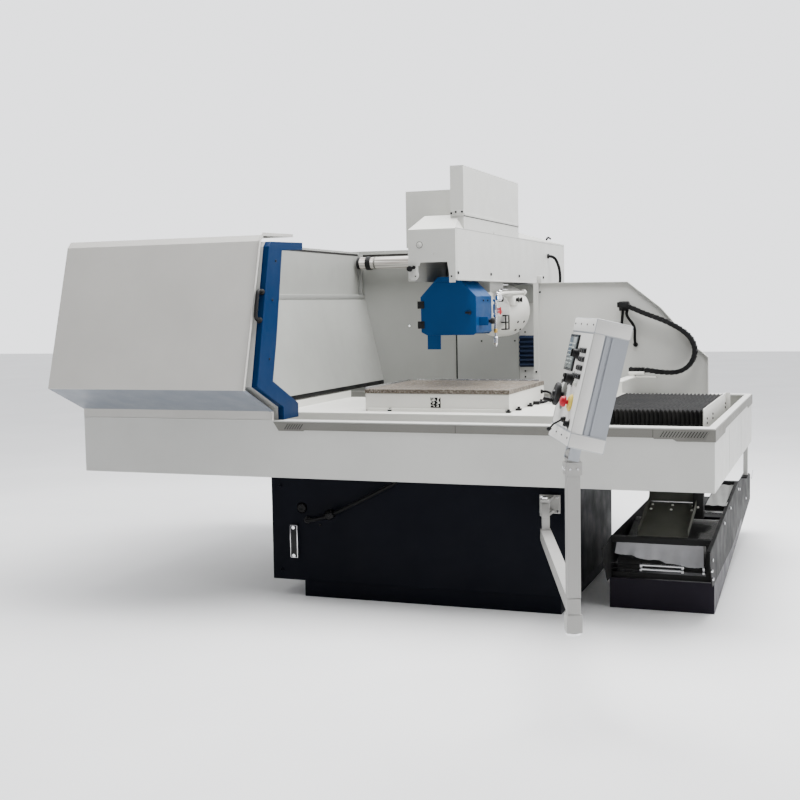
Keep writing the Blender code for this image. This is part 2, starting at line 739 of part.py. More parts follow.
def build_ram():
    """Ram on the cross ways, with a square bore for the elevating slide."""
    casting = box_shape((-0.120, -0.30, 1.700), (0.120, 1.62, 1.880), 0.004)
    bore = box_shape((-0.0853, -0.1003, 1.60), (0.0853, 0.2003, 2.00))
    ram = combine("ram", "cast_iron", [casting], [bore])
    set_origin(ram, (0.0, 0.60, 1.700))


def canopy_roof():
    """Hipped roof: its flat top falls from the front ridge to just above the eaves at the back."""
    half = CANOPY_HALF_WIDTH
    front, back = CANOPY_FRONT, CANOPY_BACK
    left_high, right_high = -half + 0.02, half - 0.055
    front_high, back_high = -0.70, back - 0.10
    corners = (
        (-half, front, CANOPY_EAVES - 0.001),
        (half, front, CANOPY_EAVES - 0.001),
        (half, back, CANOPY_EAVES_BACK - 0.001),
        (-half, back, CANOPY_EAVES_BACK - 0.001),
        (left_high, front_high, CANOPY_RIDGE),
        (right_high, front_high, CANOPY_RIDGE),
        (right_high, back_high, CANOPY_EAVES_BACK + 0.008),
        (left_high, back_high, CANOPY_EAVES_BACK + 0.008),
    )
    roof = bmesh.new()
    verts = [roof.verts.new(corner) for corner in corners]
    for face in ((3, 2, 1, 0), (4, 5, 6, 7), (0, 1, 5, 4), (1, 2, 6, 5), (2, 3, 7, 6), (3, 0, 4, 7)):
        roof.faces.new([verts[i] for i in face])
    return roof


def build_canopy():
    """Sheet cover over the ram: sloping roof, notched front, wide box and tall narrow box."""
    half = CANOPY_HALF_WIDTH
    front, back = CANOPY_FRONT, CANOPY_BACK
    sheet = 0.003
    outline = [(front, CANOPY_BOTTOM), (back, CANOPY_BOTTOM)]
    outline += [(back, CANOPY_EAVES_BACK), (front, CANOPY_EAVES)]
    shell = prism_shape(outline, -half, half, axis="X")
    tall_top, wide_top = 2.319, 2.215
    tall = box_shape((half - 0.080, -0.76, 1.94), (half - 0.004, 0.41, tall_top))
    wide = box_shape((-0.300, -0.50, 1.892), (half - 0.078, 0.40, wide_top))
    tab_foot = CANOPY_BOTTOM - 0.011
    tab = box_shape((0.099, front, tab_foot), (half - 0.002, front + sheet, CANOPY_BOTTOM + 0.01))
    hollows = [
        box_shape((-half + sheet, front + sheet, 1.60), (half - sheet, back - sheet, CANOPY_EAVES - 0.004)),
        box_shape((-half + 0.025, -0.66, 1.90), (half - 0.060, 0.90, CANOPY_EAVES + 0.040)),
        box_shape((half - 0.076, -0.756, 1.90), (half - 0.008, 0.406, tall_top - 0.004)),
        box_shape((-0.297, -0.497, 1.895), (half - 0.070, 0.397, wide_top - 0.004)),
        box_shape((0.08, 1.165, 1.870), (0.20, 1.189, 1.894)),
    ]
    notch_left = -half + sheet + 0.0005
    notch = [(notch_left, 1.60), (notch_left, 1.770), (-0.070, 1.772), (-0.066, 1.790)]
    notch += [(0.088, 1.790), (0.098, 1.728), (0.098, 1.60)]
    hollows.append(prism_shape(notch, front - 0.02, front + 0.02, axis="Y"))
    combine("canopy", "machine_white", [shell, canopy_roof(), wide, tall, tab], hollows)
    points = (
        (half - 0.006, 1.177, 1.882),
        (half + 0.014, 1.177, 1.882),
        (half + 0.050, 1.190, 1.866),
        (half + 0.072, 1.212, 1.805),
        (half + 0.076, 1.232, 1.740),
        (half + 0.072, 1.240, 1.700),
        (half + 0.064, 1.245, 1.655),
    )
    cord("canopy_cable", points, 0.010, "black_rubber")


def build_wheel_head():
    """Spindle housing with its square elevating slide, the spindle and the grinding wheel."""
    axis = HOUSING_HEIGHT
    housing = turned_shape(
        (
            (0.0, 0.095),
            (0.012, 0.106),
            (0.10, 0.110),
            (0.14, 0.122),
            (0.80, 0.128),
            (0.86, 0.118),
            (0.893, 0.092),
        ),
        (0.0, COVER_BACK + 0.0303, axis),
        (0, 1, 0),
        steps=40,
    )
    slide = box_shape((-0.085, -0.100, axis), (0.085, 0.200, 2.150), 0.002)
    bore = rod_shape((0.0, COVER_BACK - 0.1, SPINDLE_HEIGHT), (0.0, 0.0, SPINDLE_HEIGHT), 0.0305, steps=32)
    pad = box_shape((0.09, -0.20, axis - 0.03), (0.1255, 0.02, axis + 0.04), 0.004)
    head = combine("spindle_housing", "machine_grey", [housing, slide, pad], [bore], smooth=True)
    set_origin(head, (0.0, 0.05, SPINDLE_HEIGHT))
    start = WHEEL_BACK - WHEEL_WIDTH - 0.045
    spindle = turned_shape(
        (
            (0.0, 0.026),
            (0.004, 0.030),
            (0.022, 0.030),
            (0.022, 0.055),
            (0.0447, 0.062),
            (0.0447, 0.0245),
            (0.0953, 0.0245),
            (0.0953, 0.062),
            (0.115, 0.055),
            (0.115, 0.030),
            (0.500, 0.030),
        ),
        (0.0, start, SPINDLE_HEIGHT),
        (0, 1, 0),
        steps=32,
    )
    made = finish("spindle", spindle, "ground_steel", smooth=True)
    set_origin(made, (0.0, start, SPINDLE_HEIGHT))
    wheel = rod_shape(
        (0.0, WHEEL_BACK - WHEEL_WIDTH, SPINDLE_HEIGHT),
        (0.0, WHEEL_BACK, SPINDLE_HEIGHT),
        WHEEL_RADIUS,
        steps=64,
        chamfer=0.002,
    )
    hole = rod_shape((0.0, -0.8, SPINDLE_HEIGHT), (0.0, -0.3, SPINDLE_HEIGHT), 0.0248, steps=32)
    made = combine("grinding_wheel", "abrasive", [wheel], [hole], smooth=True)
    set_origin(made, (0.0, WHEEL_BACK, SPINDLE_HEIGHT))


def build_wheel_cover():
    """Eight-sided blue wheel cover, open below, with a hinged front door."""
    outline = [(-0.127, 1.388), (-0.160, 1.405), (-0.163, 1.604), (-0.057, 1.715), (0.057, 1.715)]
    outline += [(0.165, 1.604), (0.165, 1.402), (0.148, 1.388)]
    left_shoulder = -0.163 + (COVER_DOOR_TOP - 1.604) * (0.163 - 0.057) / (1.715 - 1.604)
    right_shoulder = 0.165 - (COVER_DOOR_TOP - 1.604) * (0.165 - 0.057) / (1.715 - 1.604)
    inner_top = COVER_DOOR_TOP - 0.003
    inner = [(-0.118, 1.370), (-0.156, 1.405), (-0.159, 1.602), (left_shoulder + 0.004, inner_top)]
    inner += [(right_shoulder - 0.004, inner_top), (0.161, 1.602), (0.161, 1.402), (0.140, 1.370)]
    shoulders = [(left_shoulder, COVER_DOOR_TOP), (right_shoulder, COVER_DOOR_TOP)]
    door_outline = outline[:3] + shoulders + outline[5:]
    door_back = COVER_FRONT + 0.012
    shell = prism_shape(outline, door_back + GAP, COVER_BACK, axis="Y")
    brow_foot = COVER_DOOR_TOP + 0.001
    brow = [(left_shoulder + 0.001, brow_foot), (-0.057, 1.715)]
    brow += [(0.057, 1.715), (right_shoulder - 0.001, brow_foot)]
    brow_shape = prism_shape(brow, COVER_FRONT, door_back + 0.004, axis="Y")
    hollow = prism_shape(inner, door_back - 0.1, COVER_BACK - 0.004, axis="Y")
    wheel_room = rod_shape(
        (0.0, COVER_FRONT + 0.02, SPINDLE_HEIGHT), (0.0, COVER_BACK - 0.004, SPINDLE_HEIGHT), 0.1585, steps=48
    )
    neck = rod_shape((0.0, -0.5, SPINDLE_HEIGHT), (0.0, -0.3, SPINDLE_HEIGHT), 0.040, steps=32)
    flange_profile = ((0.0, 0.088), (0.0306, 0.088))
    flange = turned_shape(flange_profile, (0.0, COVER_BACK - 0.0006, HOUSING_HEIGHT), (0, 1, 0), 32)
    latch = box_shape((0.160, -0.600, 1.440), (0.215, -0.555, 1.488), 0.004)
    knob_profile = ((0.0, 0.008), (0.012, 0.008), (0.014, 0.013), (0.030, 0.012))
    knob = turned_shape(knob_profile, (0.213, -0.578, 1.464), (1, 0, 0), 20)
    combine("wheel_cover", "guard_blue", [shell, brow_shape, flange, latch, knob], [hollow, wheel_room, neck])

    plate = prism_shape(door_outline, COVER_FRONT, door_back, axis="Y", bevel=0.002)
    tab = box_shape((-0.124, COVER_FRONT + 0.002, 1.308), (-0.046, COVER_FRONT + 0.007, 1.40))
    handle_profile = ((0.0, 0.012), (0.010, 0.010), (0.016, 0.010))
    handle = turned_shape(handle_profile, (0.125, COVER_FRONT + 0.003, 1.513), (0, -1, 0), 20)
    shapes = [plate, tab, handle]
    hinge_y = COVER_FRONT - 0.004
    for z in (1.447, 1.560):
        low, high = z - 0.020, z + 0.020
        barrel_foot = (COVER_HINGE_X, hinge_y, low)
        shapes.append(rod_shape(barrel_foot, (COVER_HINGE_X, hinge_y, high), 0.008, steps=16))
        leaf_foot = (COVER_HINGE_X, hinge_y - 0.006, low)
        shapes.append(box_shape(leaf_foot, (COVER_HINGE_X + 0.03, hinge_y + 0.008, high)))
    door = combine("cover_door", "guard_blue", shapes)
    set_origin(door, (COVER_HINGE_X, hinge_y, 1.50))


def build_coolant_line():
    """Coolant pipe along the housing, with a tap and a nozzle beside the wheel cover."""
    x, y = 0.232, -0.500
    path = smooth_path(
        (
            (0.108, 0.19, 1.6450),
            (0.110, 0.12, 1.6450),
            (0.122, 0.00, 1.6420),
            (0.150, -0.12, 1.6300),
            (0.195, -0.30, 1.6150),
            (0.222, -0.42, 1.6100),
            (x, y + 0.02, 1.6020),
            (x, y, 1.5800),
            (x, y, 1.5500),
            (x, y, 1.3200),
        ),
        per_span=4,
    )
    pipe = sweep_shape(path, (0.008,), steps=12)
    shapes = [pipe]
    profile = ((0.0, 0.013), (0.02, 0.014), (0.05, 0.014), (0.060, 0.009))
    shapes.append(turned_shape(profile, (x, y, 1.505), (0, 0, 1), steps=16))
    nozzle = ((0.0, 0.006), (0.02, 0.013), (0.045, 0.013), (0.055, 0.009))
    shapes.append(turned_shape(nozzle, (x, y, 1.318), (0, 0, 1), 16))
    bore = rod_shape((x, y, 1.30), (x, y, 1.330), 0.004, steps=12)
    stay = box_shape((0.0856, 0.13, 1.638), (0.112, 0.15, 1.652))
    combine("coolant_pipe", "chrome", shapes + [stay], [bore], smooth=True)
    tap = [
        rod_shape((x + 0.0145, y, 1.530), (x + 0.030, y, 1.530), 0.005, steps=12),
        box_shape((x + 0.026, y - 0.006, 1.498), (x + 0.032, y + 0.006, 1.540), 0.001),
    ]
    made = combine("coolant_tap", "stop_red", tap)
    set_origin(made, (x, y, 1.530))


# ---------------------------------------------------------------- pendant


def pendant_matrix():
    """Frame of the pendant head: X to the near side, Y into the box, Z up its face."""
    turn = Matrix.Rotation(PENDANT_YAW, 4, "Z") @ Matrix.Rotation(PENDANT_LEAN, 4, "X")
    return Matrix.Translation(TILT_PIVOT) @ turn


def placed(shape, matrix):
    """Move a shape from a local frame into the world."""
    shape.transform(matrix)
    return shape


def build_pendant_arm():
    """Bolted bracket, swinging arm and turning post."""
    axis_x, axis_y = KNUCKLE.x, KNUCKLE.y
    shapes = [box_shape((0.6775, BED_FRONT - 0.0123, 0.514), (0.7825, BED_FRONT - GAP, 0.607), 0.002)]
    for low, high in ((0.587, 0.602), (0.519, 0.534)):
        shapes.append(box_shape((axis_x - 0.024, axis_y, low), (axis_x + 0.024, BED_FRONT - 0.005, high)))
        shapes.append(rod_shape((axis_x, axis_y, low), (axis_x, axis_y, high), 0.024, steps=28))
    combine("pendant_bracket", "machine_white", shapes)

    reach = Vector((ELBOW.x - axis_x, ELBOW.y - axis_y, 0.0))
    length = reach.length
    heading = Matrix.Rotation(math.atan2(reach.y, reach.x), 4, "Z")
    turn = Matrix.Translation(Vector((axis_x, axis_y, 0.0))) @ heading
    gusset = [(0.0, 0.539), (0.0, 0.582), (0.030, 0.582), (0.080, 0.520)]
    gusset += [(0.080, 0.45), (0.0335, 0.45), (0.0335, 0.539)]
    gusset_shape = prism_shape(gusset, -0.018, 0.018, axis="Y")
    arm = [
        rod_shape((0.0, 0.0, 0.536), (0.0, 0.0, 0.585), 0.024, steps=28),
        gusset_shape,
        box_shape((0.030, -0.025, 0.402), (length + 0.028, 0.025, 0.462), 0.003),
    ]
    hole = rod_shape((length, 0.0, 0.30), (length, 0.0, 0.60), 0.0155, steps=24)
    arm_shapes = [placed(piece, turn) for piece in arm]
    made = combine("pendant_arm", "machine_white", arm_shapes, [placed(hole, turn)])
    set_origin(made, (axis_x, axis_y, 0.462))

    half = 0.025
    x, y = ELBOW.x, ELBOW.y
    turn = Matrix.Translation(Vector((x, y, 0.0))) @ Matrix.Rotation(PENDANT_YAW, 4, "Z")
    pivot_z = TILT_PIVOT.z
    post = [
        box_shape((-half, -half, 0.4623), (half, half, pivot_z - 0.012), 0.003),
        rod_shape((0.0, 0.0, 0.36), (0.0, 0.0, 0.50), 0.0152, steps=24),
        box_shape((-0.030, -0.030, 0.330), (0.030, 0.030, 0.4017), 0.006),
        box_shape((-0.031, -0.031, 0.925), (0.031, 0.031, 0.974), 0.002),
        rod_shape((-0.032, 0.0, pivot_z), (0.032, 0.0, pivot_z), 0.020, steps=28),
    ]
    made = combine("pendant_post", "machine_white", [placed(p, turn) for p in post])
    set_origin(made, (x, y, 0.4623))


def build_pendant_head():
    """Control box on a tilting fork, with pale end caps and a screen."""
    frame = pendant_matrix()
    half_width, half_depth = PENDANT_WIDTH / 2, PENDANT_DEPTH / 2
    bottom = PENDANT_FOOT
    top = bottom + PENDANT_HEIGHT
    cap = 0.052
    shapes = [
        box_shape(
            (-half_width + 0.004, -half_depth + 0.003, bottom + 0.02),
            (half_width - 0.004, half_depth - 0.002, top - 0.02),
        ),
        box_shape((-half_width, -half_depth, bottom), (half_width, half_depth, bottom + cap), 0.003),
        box_shape((-half_width, -half_depth, top - cap), (half_width, half_depth, top), 0.003),
    ]
    for side in (-1, 1):
        low, high = sorted((side * 0.034, side * 0.046))
        shapes.append(box_shape((low, -0.020, -0.020), (high, 0.020, bottom + 0.01), 0.002))
    grooves = []
    for side in (-1, 1):
        edge = side * (half_width - 0.004)
        for y in (-0.022, 0.000):
            low, high = sorted((edge - side * 0.004, edge + side * 0.02))
            grooves.append(
                box_shape((low, y - 0.004, bottom + cap + 0.002), (high, y + 0.004, top - cap - 0.002))
            )
    shapes = [placed(shape, frame) for shape in shapes]
    made = combine("pendant_box", "pendant_grey", shapes, [placed(groove, frame) for groove in grooves])
    set_origin(made, TILT_PIVOT)

    face = -half_depth + 0.003 - GAP
    screen = box_shape((-0.185, face - 0.008, bottom + 0.262), (-0.030, face, bottom + 0.400), 0.002)
    finish("pendant_screen", placed(screen, frame), "screen_glass")
    build_pendant_controls(frame, face, bottom)


def build_pendant_controls(frame, face, bottom):
    """Handwheel, knobs, stop button and lever on the front of the pendant box."""
    out = (0, -1, 0)

    def control(name, profile, across, height, slot, extra=(), offset=0.0, steps=28):
        origin = Vector((across, face - offset, bottom + height))
        shapes = [turned_shape(profile, origin, out, steps)] + list(extra)
        made = combine(name, slot, [placed(s, frame) for s in shapes], smooth=True)
        set_origin(made, frame @ origin)
        return made

    knob = ((0.0, 0.020), (0.006, 0.020), (0.008, 0.016), (0.022, 0.015), (0.024, 0.013))
    knobs = (
        ("knob_upper", 0.004, 0.330, 1.0),
        ("knob_middle", 0.010, 0.235, 1.2),
        ("knob_lower", 0.120, 0.075, 0.7),
    )
    for name, across, height, size in knobs:
        profile = tuple((along * size, radius * size) for along, radius in knob)
        reach = face - 0.024 * size
        ridge = box_shape(
            (across - 0.004 * size, reach - 0.006 * size, bottom + height - 0.014 * size),
            (across + 0.004 * size, reach + 0.004 * size, bottom + height + 0.014 * size),
            0.0008,
        )
        control(name, profile, across, height, "black_plastic", [ridge])
    wheel = ((0.0, 0.012), (0.016, 0.012), (0.018, 0.040), (0.022, 0.044))
    wheel += ((0.032, 0.044), (0.036, 0.040), (0.038, 0.012), (0.044, 0.010))
    grip_profile = ((0.0, 0.005), (0.010, 0.005), (0.012, 0.009), (0.040, 0.008), (0.044, 0.005))
    grip = turned_shape(grip_profile, (-0.098, face - 0.030, bottom + 0.138), out, 20)
    control("handwheel", wheel, -0.098, 0.166, "black_plastic", [grip], steps=40)
    stop_height = bottom + 0.150
    ring_profile = ((0.0, 0.031), (0.006, 0.031), (0.012, 0.022))
    ring = turned_shape(ring_profile, (0.072, face, stop_height), out, 32)
    bore = rod_shape((0.072, face + 0.01, stop_height), (0.072, face - 0.05, stop_height), 0.0083, steps=24)
    combine("stop_collar", "stop_yellow", [placed(ring, frame)], [placed(bore, frame)], smooth=True)
    button = ((0.0, 0.008), (0.016, 0.008), (0.018, 0.019), (0.024, 0.020), (0.034, 0.017), (0.038, 0.009))
    control("stop_button", button, 0.072, 0.150, "stop_red", offset=0.004, steps=32)
    lever_path = (
        (0.040, face - 0.014, bottom + 0.082),
        (0.044, face - 0.040, bottom + 0.060),
        (0.046, face - 0.052, bottom + 0.040),
    )
    lever = sweep_shape(lever_path, (0.0035,), steps=12)
    tip_profile = ((0.0, 0.004), (0.004, 0.008), (0.012, 0.008), (0.016, 0.004))
    tip = turned_shape(tip_profile, (0.0455, face - 0.049, bottom + 0.046), (0.02, -0.5, -0.86), 16)
    base = ((0.0, 0.011), (0.010, 0.011), (0.018, 0.007))
    control("selector_lever", base, 0.040, 0.084, "black_plastic", [lever, tip], steps=20)


# ---------------------------------------------------------------- filter unit


def build_filter():
    """Band filter: open tank, side plates, chute, drum, front roller, belt and used band."""
    build_filter_tank()
    build_filter_frame()
    build_filter_chute()
    build_filter_band()


def build_filter_tank():
    """Open tank with a floor that rises to the back."""
    left, right, front = FILTER_LEFT, FILTER_RIGHT, FILTER_FRONT
    outline = [(front, 0.0), (-1.03, 0.0), (0.500, 0.158), (0.500, 0.215)]
    outline += [(-0.10, FILTER_RIM), (front, FILTER_RIM)]
    inner = [(front + 0.004, 0.004), (-1.03, 0.004), (0.496, 0.162), (0.496, 0.30), (front + 0.004, 0.30)]
    outer = prism_shape(outline, left, right, axis="X")
    hollow = prism_shape(inner, left + 0.004, right - 0.004, axis="X")
    combine("filter_tank", "filter_dark", [outer], [hollow])


def build_filter_frame():
    """Side plates on the tank, tied by cross bars and a rear floor on two feet."""
    left, right = FILTER_LEFT, FILTER_RIGHT
    plate = 0.005
    rim = FILTER_RIM + GAP
    nose = [(-1.150, rim), (-1.265, 0.300), (-1.265, 0.345), (-1.000, 0.362)]
    tail = [(1.170, 0.231), (0.503, 0.160), (0.503, 0.2153 + GAP), (-0.100, rim)]
    high_edge = [(-0.620, 0.398), (0.247, 0.470), (0.70, FILTER_LEDGE), (1.170, 0.397)]
    low_edge = [(1.170, 0.362)]
    shapes = [
        prism_shape(nose + low_edge + tail, left, left + plate, axis="X"),
        prism_shape(nose + high_edge + tail, right - plate, right, axis="X"),
        box_shape((left + 0.002, -1.045, 0.335), (right - 0.002, -1.005, 0.365), 0.002),
        box_shape((left + 0.002, 1.120, 0.300), (right - 0.002, 1.160, 0.350), 0.002),
        box_shape((right - 0.043, -1.050, 0.158), (right - 0.002, -1.042, 0.345)),
        box_shape((right - 0.006, 0.500, FILTER_LEDGE - 0.008), (right + 0.032, 0.690, FILTER_LEDGE)),
    ]
    rear_floor = [(0.503, 0.160), (1.165, 0.2302), (1.165, 0.2352), (0.503, 0.165)]
    shapes.append(prism_shape(rear_floor, left + 0.002, right - 0.002, axis="X"))
    deck = [(-0.350, 0.400), (-0.350, 0.424), (0.240, 0.455)]
    deck += [(0.240, 0.450), (-0.344, 0.419), (-0.344, 0.400)]
    shapes.append(prism_shape(deck, 1.376, right - 0.002, axis="X"))
    for x in (1.030, 1.400):
        shapes.append(box_shape((x, 0.850, 0.0), (x + 0.040, 0.890, 0.200)))
    combine("filter_frame", "filter_grey", shapes)


def build_filter_chute():
    """Bent chute plate with two cheeks, on the front cross bar."""
    foot = 0.3653
    chute = thicken([(-1.000, foot), (-0.985, foot), (-0.560, 0.470), (-0.540, 0.600)], 0.003)
    shapes = [prism_shape(chute, 1.110, 1.365, axis="X")]
    cheek = [(-0.985, foot), (-0.560, 0.470), (-0.543, 0.590)]
    cheek += [(-0.575, 0.590), (-0.600, 0.505), (-0.985, 0.400)]
    cheek = [(y, z - 0.001) for y, z in cheek]
    for x in (1.110, 1.362):
        shapes.append(prism_shape(cheek, x, x + 0.003, axis="X"))
    combine("filter_chute", "filter_grey", shapes)


def build_filter_band():
    """Drum, front roller, the belt round both, and the used band that hangs from the cross bar."""
    inner_left, inner_right = FILTER_LEFT + 0.0056, FILTER_RIGHT - 0.0056
    length = inner_right - inner_left
    journal, shoulder = 0.012, 0.018
    for name, place, slot in (
        ("filter_drum", FILTER_DRUM, "filter_grey"),
        ("filter_roller", FILTER_ROLLER, "chrome"),
    ):
        y, z, radius = place
        profile = ((0.0, journal), (shoulder, journal), (shoulder, radius))
        profile += ((length - shoulder, radius), (length - shoulder, journal), (length, journal))
        made = finish(name, turned_shape(profile, (inner_left, y, z), (1, 0, 0), 40), slot, smooth=True)
        set_origin(made, (inner_left, y, z))
    belt = prism_shape(belt_outline(0.0035), inner_left + 0.022, inner_right - 0.022, axis="X")
    combine("filter_belt", "filter_paper", [belt], [prism_shape(belt_outline(0.0006), 0.0, 3.0, axis="X")])
    strip = [(-1.0300, 0.3346), (-1.0345, 0.300), (-1.0440, 0.262), (-1.0600, 0.225)]
    finish("used_band", prism_shape(thicken(strip, 0.0015), 1.030, 1.455, axis="X"), "filter_paper")


def belt_outline(offset):
    """Outline of a belt stretched round the drum and the roller, at an offset from both."""
    drum_y, drum_z, drum_radius = FILTER_DRUM
    roller_y, roller_z, roller_radius = FILTER_ROLLER
    near = Vector((roller_y, roller_z))
    far = Vector((drum_y, drum_z))
    gap = far - near
    heading = math.atan2(gap.y, gap.x)
    lean = math.acos((roller_radius - drum_radius) / gap.length)
    outline = []
    steps = 16
    far_sweep = 2 * lean
    for i in range(steps + 1):
        angle = heading - lean + far_sweep * i / steps
        outline.append(tuple(far + (drum_radius + offset) * Vector((math.cos(angle), math.sin(angle)))))
    near_sweep = 2 * (math.pi - lean)
    for i in range(steps + 1):
        angle = heading + lean + near_sweep * i / steps
        outline.append(tuple(near + (roller_radius + offset) * Vector((math.cos(angle), math.sin(angle)))))
    return outline


def main():
    """Build every sub-part."""
    clear_scene()
    build_bed()
    build_base_fittings()
    build_tray()
    build_trim_band()
    build_hood()
    build_sliding_guard()
    build_splash_walls()
    build_work_lamp()
    build_ways()
    build_table()
    build_bellows()
    build_cable_carrier()
    build_column()
    build_ram()
    build_canopy()
    build_wheel_head()
    build_wheel_cover()
    build_coolant_line()
    build_pendant_arm()
    build_pendant_head()
    build_filter()


main()
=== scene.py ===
"""Looks of the surface grinder: materials, fine pieces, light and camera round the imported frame."""

import json
import math
import random

import bmesh
import bpy
from mathutils import Matrix, Vector


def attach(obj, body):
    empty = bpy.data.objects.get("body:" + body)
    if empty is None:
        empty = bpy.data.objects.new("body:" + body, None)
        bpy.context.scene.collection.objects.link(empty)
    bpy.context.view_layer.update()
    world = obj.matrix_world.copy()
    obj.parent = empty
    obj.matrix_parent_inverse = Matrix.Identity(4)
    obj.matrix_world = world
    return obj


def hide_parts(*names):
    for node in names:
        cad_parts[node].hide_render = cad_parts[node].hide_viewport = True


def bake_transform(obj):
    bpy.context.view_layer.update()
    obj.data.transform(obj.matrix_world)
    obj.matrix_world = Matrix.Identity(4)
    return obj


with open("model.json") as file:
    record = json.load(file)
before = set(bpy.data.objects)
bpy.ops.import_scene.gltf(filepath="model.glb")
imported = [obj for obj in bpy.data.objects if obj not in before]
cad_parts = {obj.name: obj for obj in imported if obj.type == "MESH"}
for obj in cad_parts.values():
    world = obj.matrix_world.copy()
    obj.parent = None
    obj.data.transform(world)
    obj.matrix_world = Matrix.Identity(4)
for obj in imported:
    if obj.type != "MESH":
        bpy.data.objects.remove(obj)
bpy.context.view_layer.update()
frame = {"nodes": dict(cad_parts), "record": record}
NODES = frame["nodes"]

# The camera stands at eye level, in front of the machine and to its right.
CAMERA_PLACE = Vector((2.1335, -7.1849, 1.5662))
CAMERA_YAW = 0.3566
CAMERA_PITCH = 0.0785
CAMERA_ROLL = -0.0177
CAMERA_LENS = 54.73
SENSOR_WIDTH = 36.0
# Strength of the studio world in front of the machine and behind it.
WORLD_FRONT = 0.40
WORLD_BACK = 2.4

# Directions in the shared frame.
TO_RIGHT = (1, 0, 0)
TO_LEFT = (-1, 0, 0)
TO_BACK = (0, 1, 0)
TO_FRONT = (0, -1, 0)
UP = (0, 0, 1)
DOWN = (0, 0, -1)

# Dimensions shared with the CAD model, in metres.
BED_FRONT = -1.295
HOOD_CREASE = 1.154
HOOD_FOOT = 1.020
TRAY_LEFT = -1.855
TRIM_FACE = -1.5045
WALL_FRONT = -1.095
WALL_BACK = 0.590
TABLE_TOP = 0.9803
CHUCK_LEFT = -0.400
CHUCK_RIGHT = 0.425
CHUCK_FRONT = -0.934
CHUCK_BACK = -0.160
CHUCK_TOP = 1.100
BELLOWS_START = 0.8806
BELLOWS_END = 1.4495
BELLOWS_TOP = 1.022
BELLOWS_PLEATS = 26
CARRIER_Y = 0.530
CANOPY_SIDE = 0.1352
CANOPY_FRONT = -0.9302
COVER_HINGE_X = -0.171
HOUSING_HEIGHT = 1.512
HOUSING_REAR = 0.5734
LAMP_Y = 0.530
LAMP_HEIGHT = 1.848
LAMP_RADIUS = 0.0402
KNUCKLE = Vector((0.728, -1.405, 0.535))
ELBOW_X = 1.165
ELBOW_Y = -2.765
PENDANT_YAW = math.radians(-67.0)
PENDANT_LEAN = math.radians(-13.7)
PENDANT_HALF_WIDTH = 0.200
PENDANT_HALF_DEPTH = 0.066
PENDANT_FOOT = 0.038
PENDANT_TOP = 0.503
PENDANT_CAP = 0.052
PENDANT_FACE = -0.063
PENDANT_PLATE = PENDANT_FACE - 0.0014
DRUM = Vector((-0.42, 0.275))
ROLLER = Vector((-0.98, 0.215))
TIE_ROD_Y = -1.048
TIE_ROD_HEIGHTS = (0.224, 0.202)
BELT_LEFT = 1.0110
BELT_RIGHT = 1.4770


# ---------------------------------------------------------------- colours and node helpers

# Heights of surface textures, in metres.
ORANGE_PEEL = 0.00012
MOULD_TEXTURE = 0.00008


def srgb(red, green, blue):
    """A colour given as 0-255 screen values, as the linear colour that shaders take."""
    channels = []
    for value in (red, green, blue):
        share = value / 255
        channels.append(share / 12.92 if share <= 0.04045 else ((share + 0.055) / 1.055) ** 2.4)
    return (*channels, 1.0)


def new_material(name):
    """An empty node material; returns it with its tree and its Principled shader."""
    made = bpy.data.materials.new(name)
    made.use_nodes = True
    tree = made.node_tree
    return made, tree, tree.nodes["Principled BSDF"]


def object_position(tree, stretch=(1.0, 1.0, 1.0)):
    """Place on the object in metres, stretched along its axes."""
    coordinates = tree.nodes.new("ShaderNodeTexCoord")
    mapping = tree.nodes.new("ShaderNodeMapping")
    mapping.inputs["Scale"].default_value = stretch
    tree.links.new(coordinates.outputs["Object"], mapping.inputs["Vector"])
    return mapping.outputs["Vector"]


def noise(tree, scale, detail=3.0, stretch=(1.0, 1.0, 1.0), roughness=0.55):
    """A noise value from 0 to 1."""
    made = tree.nodes.new("ShaderNodeTexNoise")
    made.inputs["Scale"].default_value = scale
    made.inputs["Detail"].default_value = detail
    made.inputs["Roughness"].default_value = roughness
    tree.links.new(object_position(tree, stretch), made.inputs["Vector"])
    return made.outputs["Fac"]


def ramp(tree, value, stops):
    """Map a value through colour stops given as (position, colour)."""
    made = tree.nodes.new("ShaderNodeValToRGB")
    elements = made.color_ramp.elements
    while len(elements) < len(stops):
        elements.new(0.5)
    for element, (position, colour) in zip(elements, stops):
        element.position = position
        element.color = colour
    tree.links.new(value, made.inputs["Fac"])
    return made.outputs["Color"]


def spread(tree, value, low, high, start=0.3, end=0.7):
    """Map the middle of a noise value onto the range low to high."""
    made = tree.nodes.new("ShaderNodeMapRange")
    made.inputs["From Min"].default_value = start
    made.inputs["From Max"].default_value = end
    made.inputs["To Min"].default_value = low
    made.inputs["To Max"].default_value = high
    tree.links.new(value, made.inputs["Value"])
    return made.outputs["Result"]


def mix(tree, share, first, second):
    """Mix two colours; each may be a colour or a socket."""
    made = tree.nodes.new("ShaderNodeMix")
    made.data_type = "RGBA"
    for socket, value in ((made.inputs[0], share), (made.inputs[6], first), (made.inputs[7], second)):
        if isinstance(value, bpy.types.NodeSocket):
            tree.links.new(value, socket)
        else:
            socket.default_value = value
    return made.outputs[2]


def bump(tree, shader, height, distance, strength=1.0):
    """Raise the surface by a height value, in metres."""
    made = tree.nodes.new("ShaderNodeBump")
    made.inputs["Distance"].default_value = distance
    made.inputs["Strength"].default_value = strength
    tree.links.new(height, made.inputs["Height"])
    tree.links.new(made.outputs["Normal"], shader.inputs["Normal"])


def shade(colour, factor):
    """A colour made lighter or darker."""
    return (*[min(channel * factor, 1.0) for channel in colour[:3]], 1.0)


# ---------------------------------------------------------------- materials


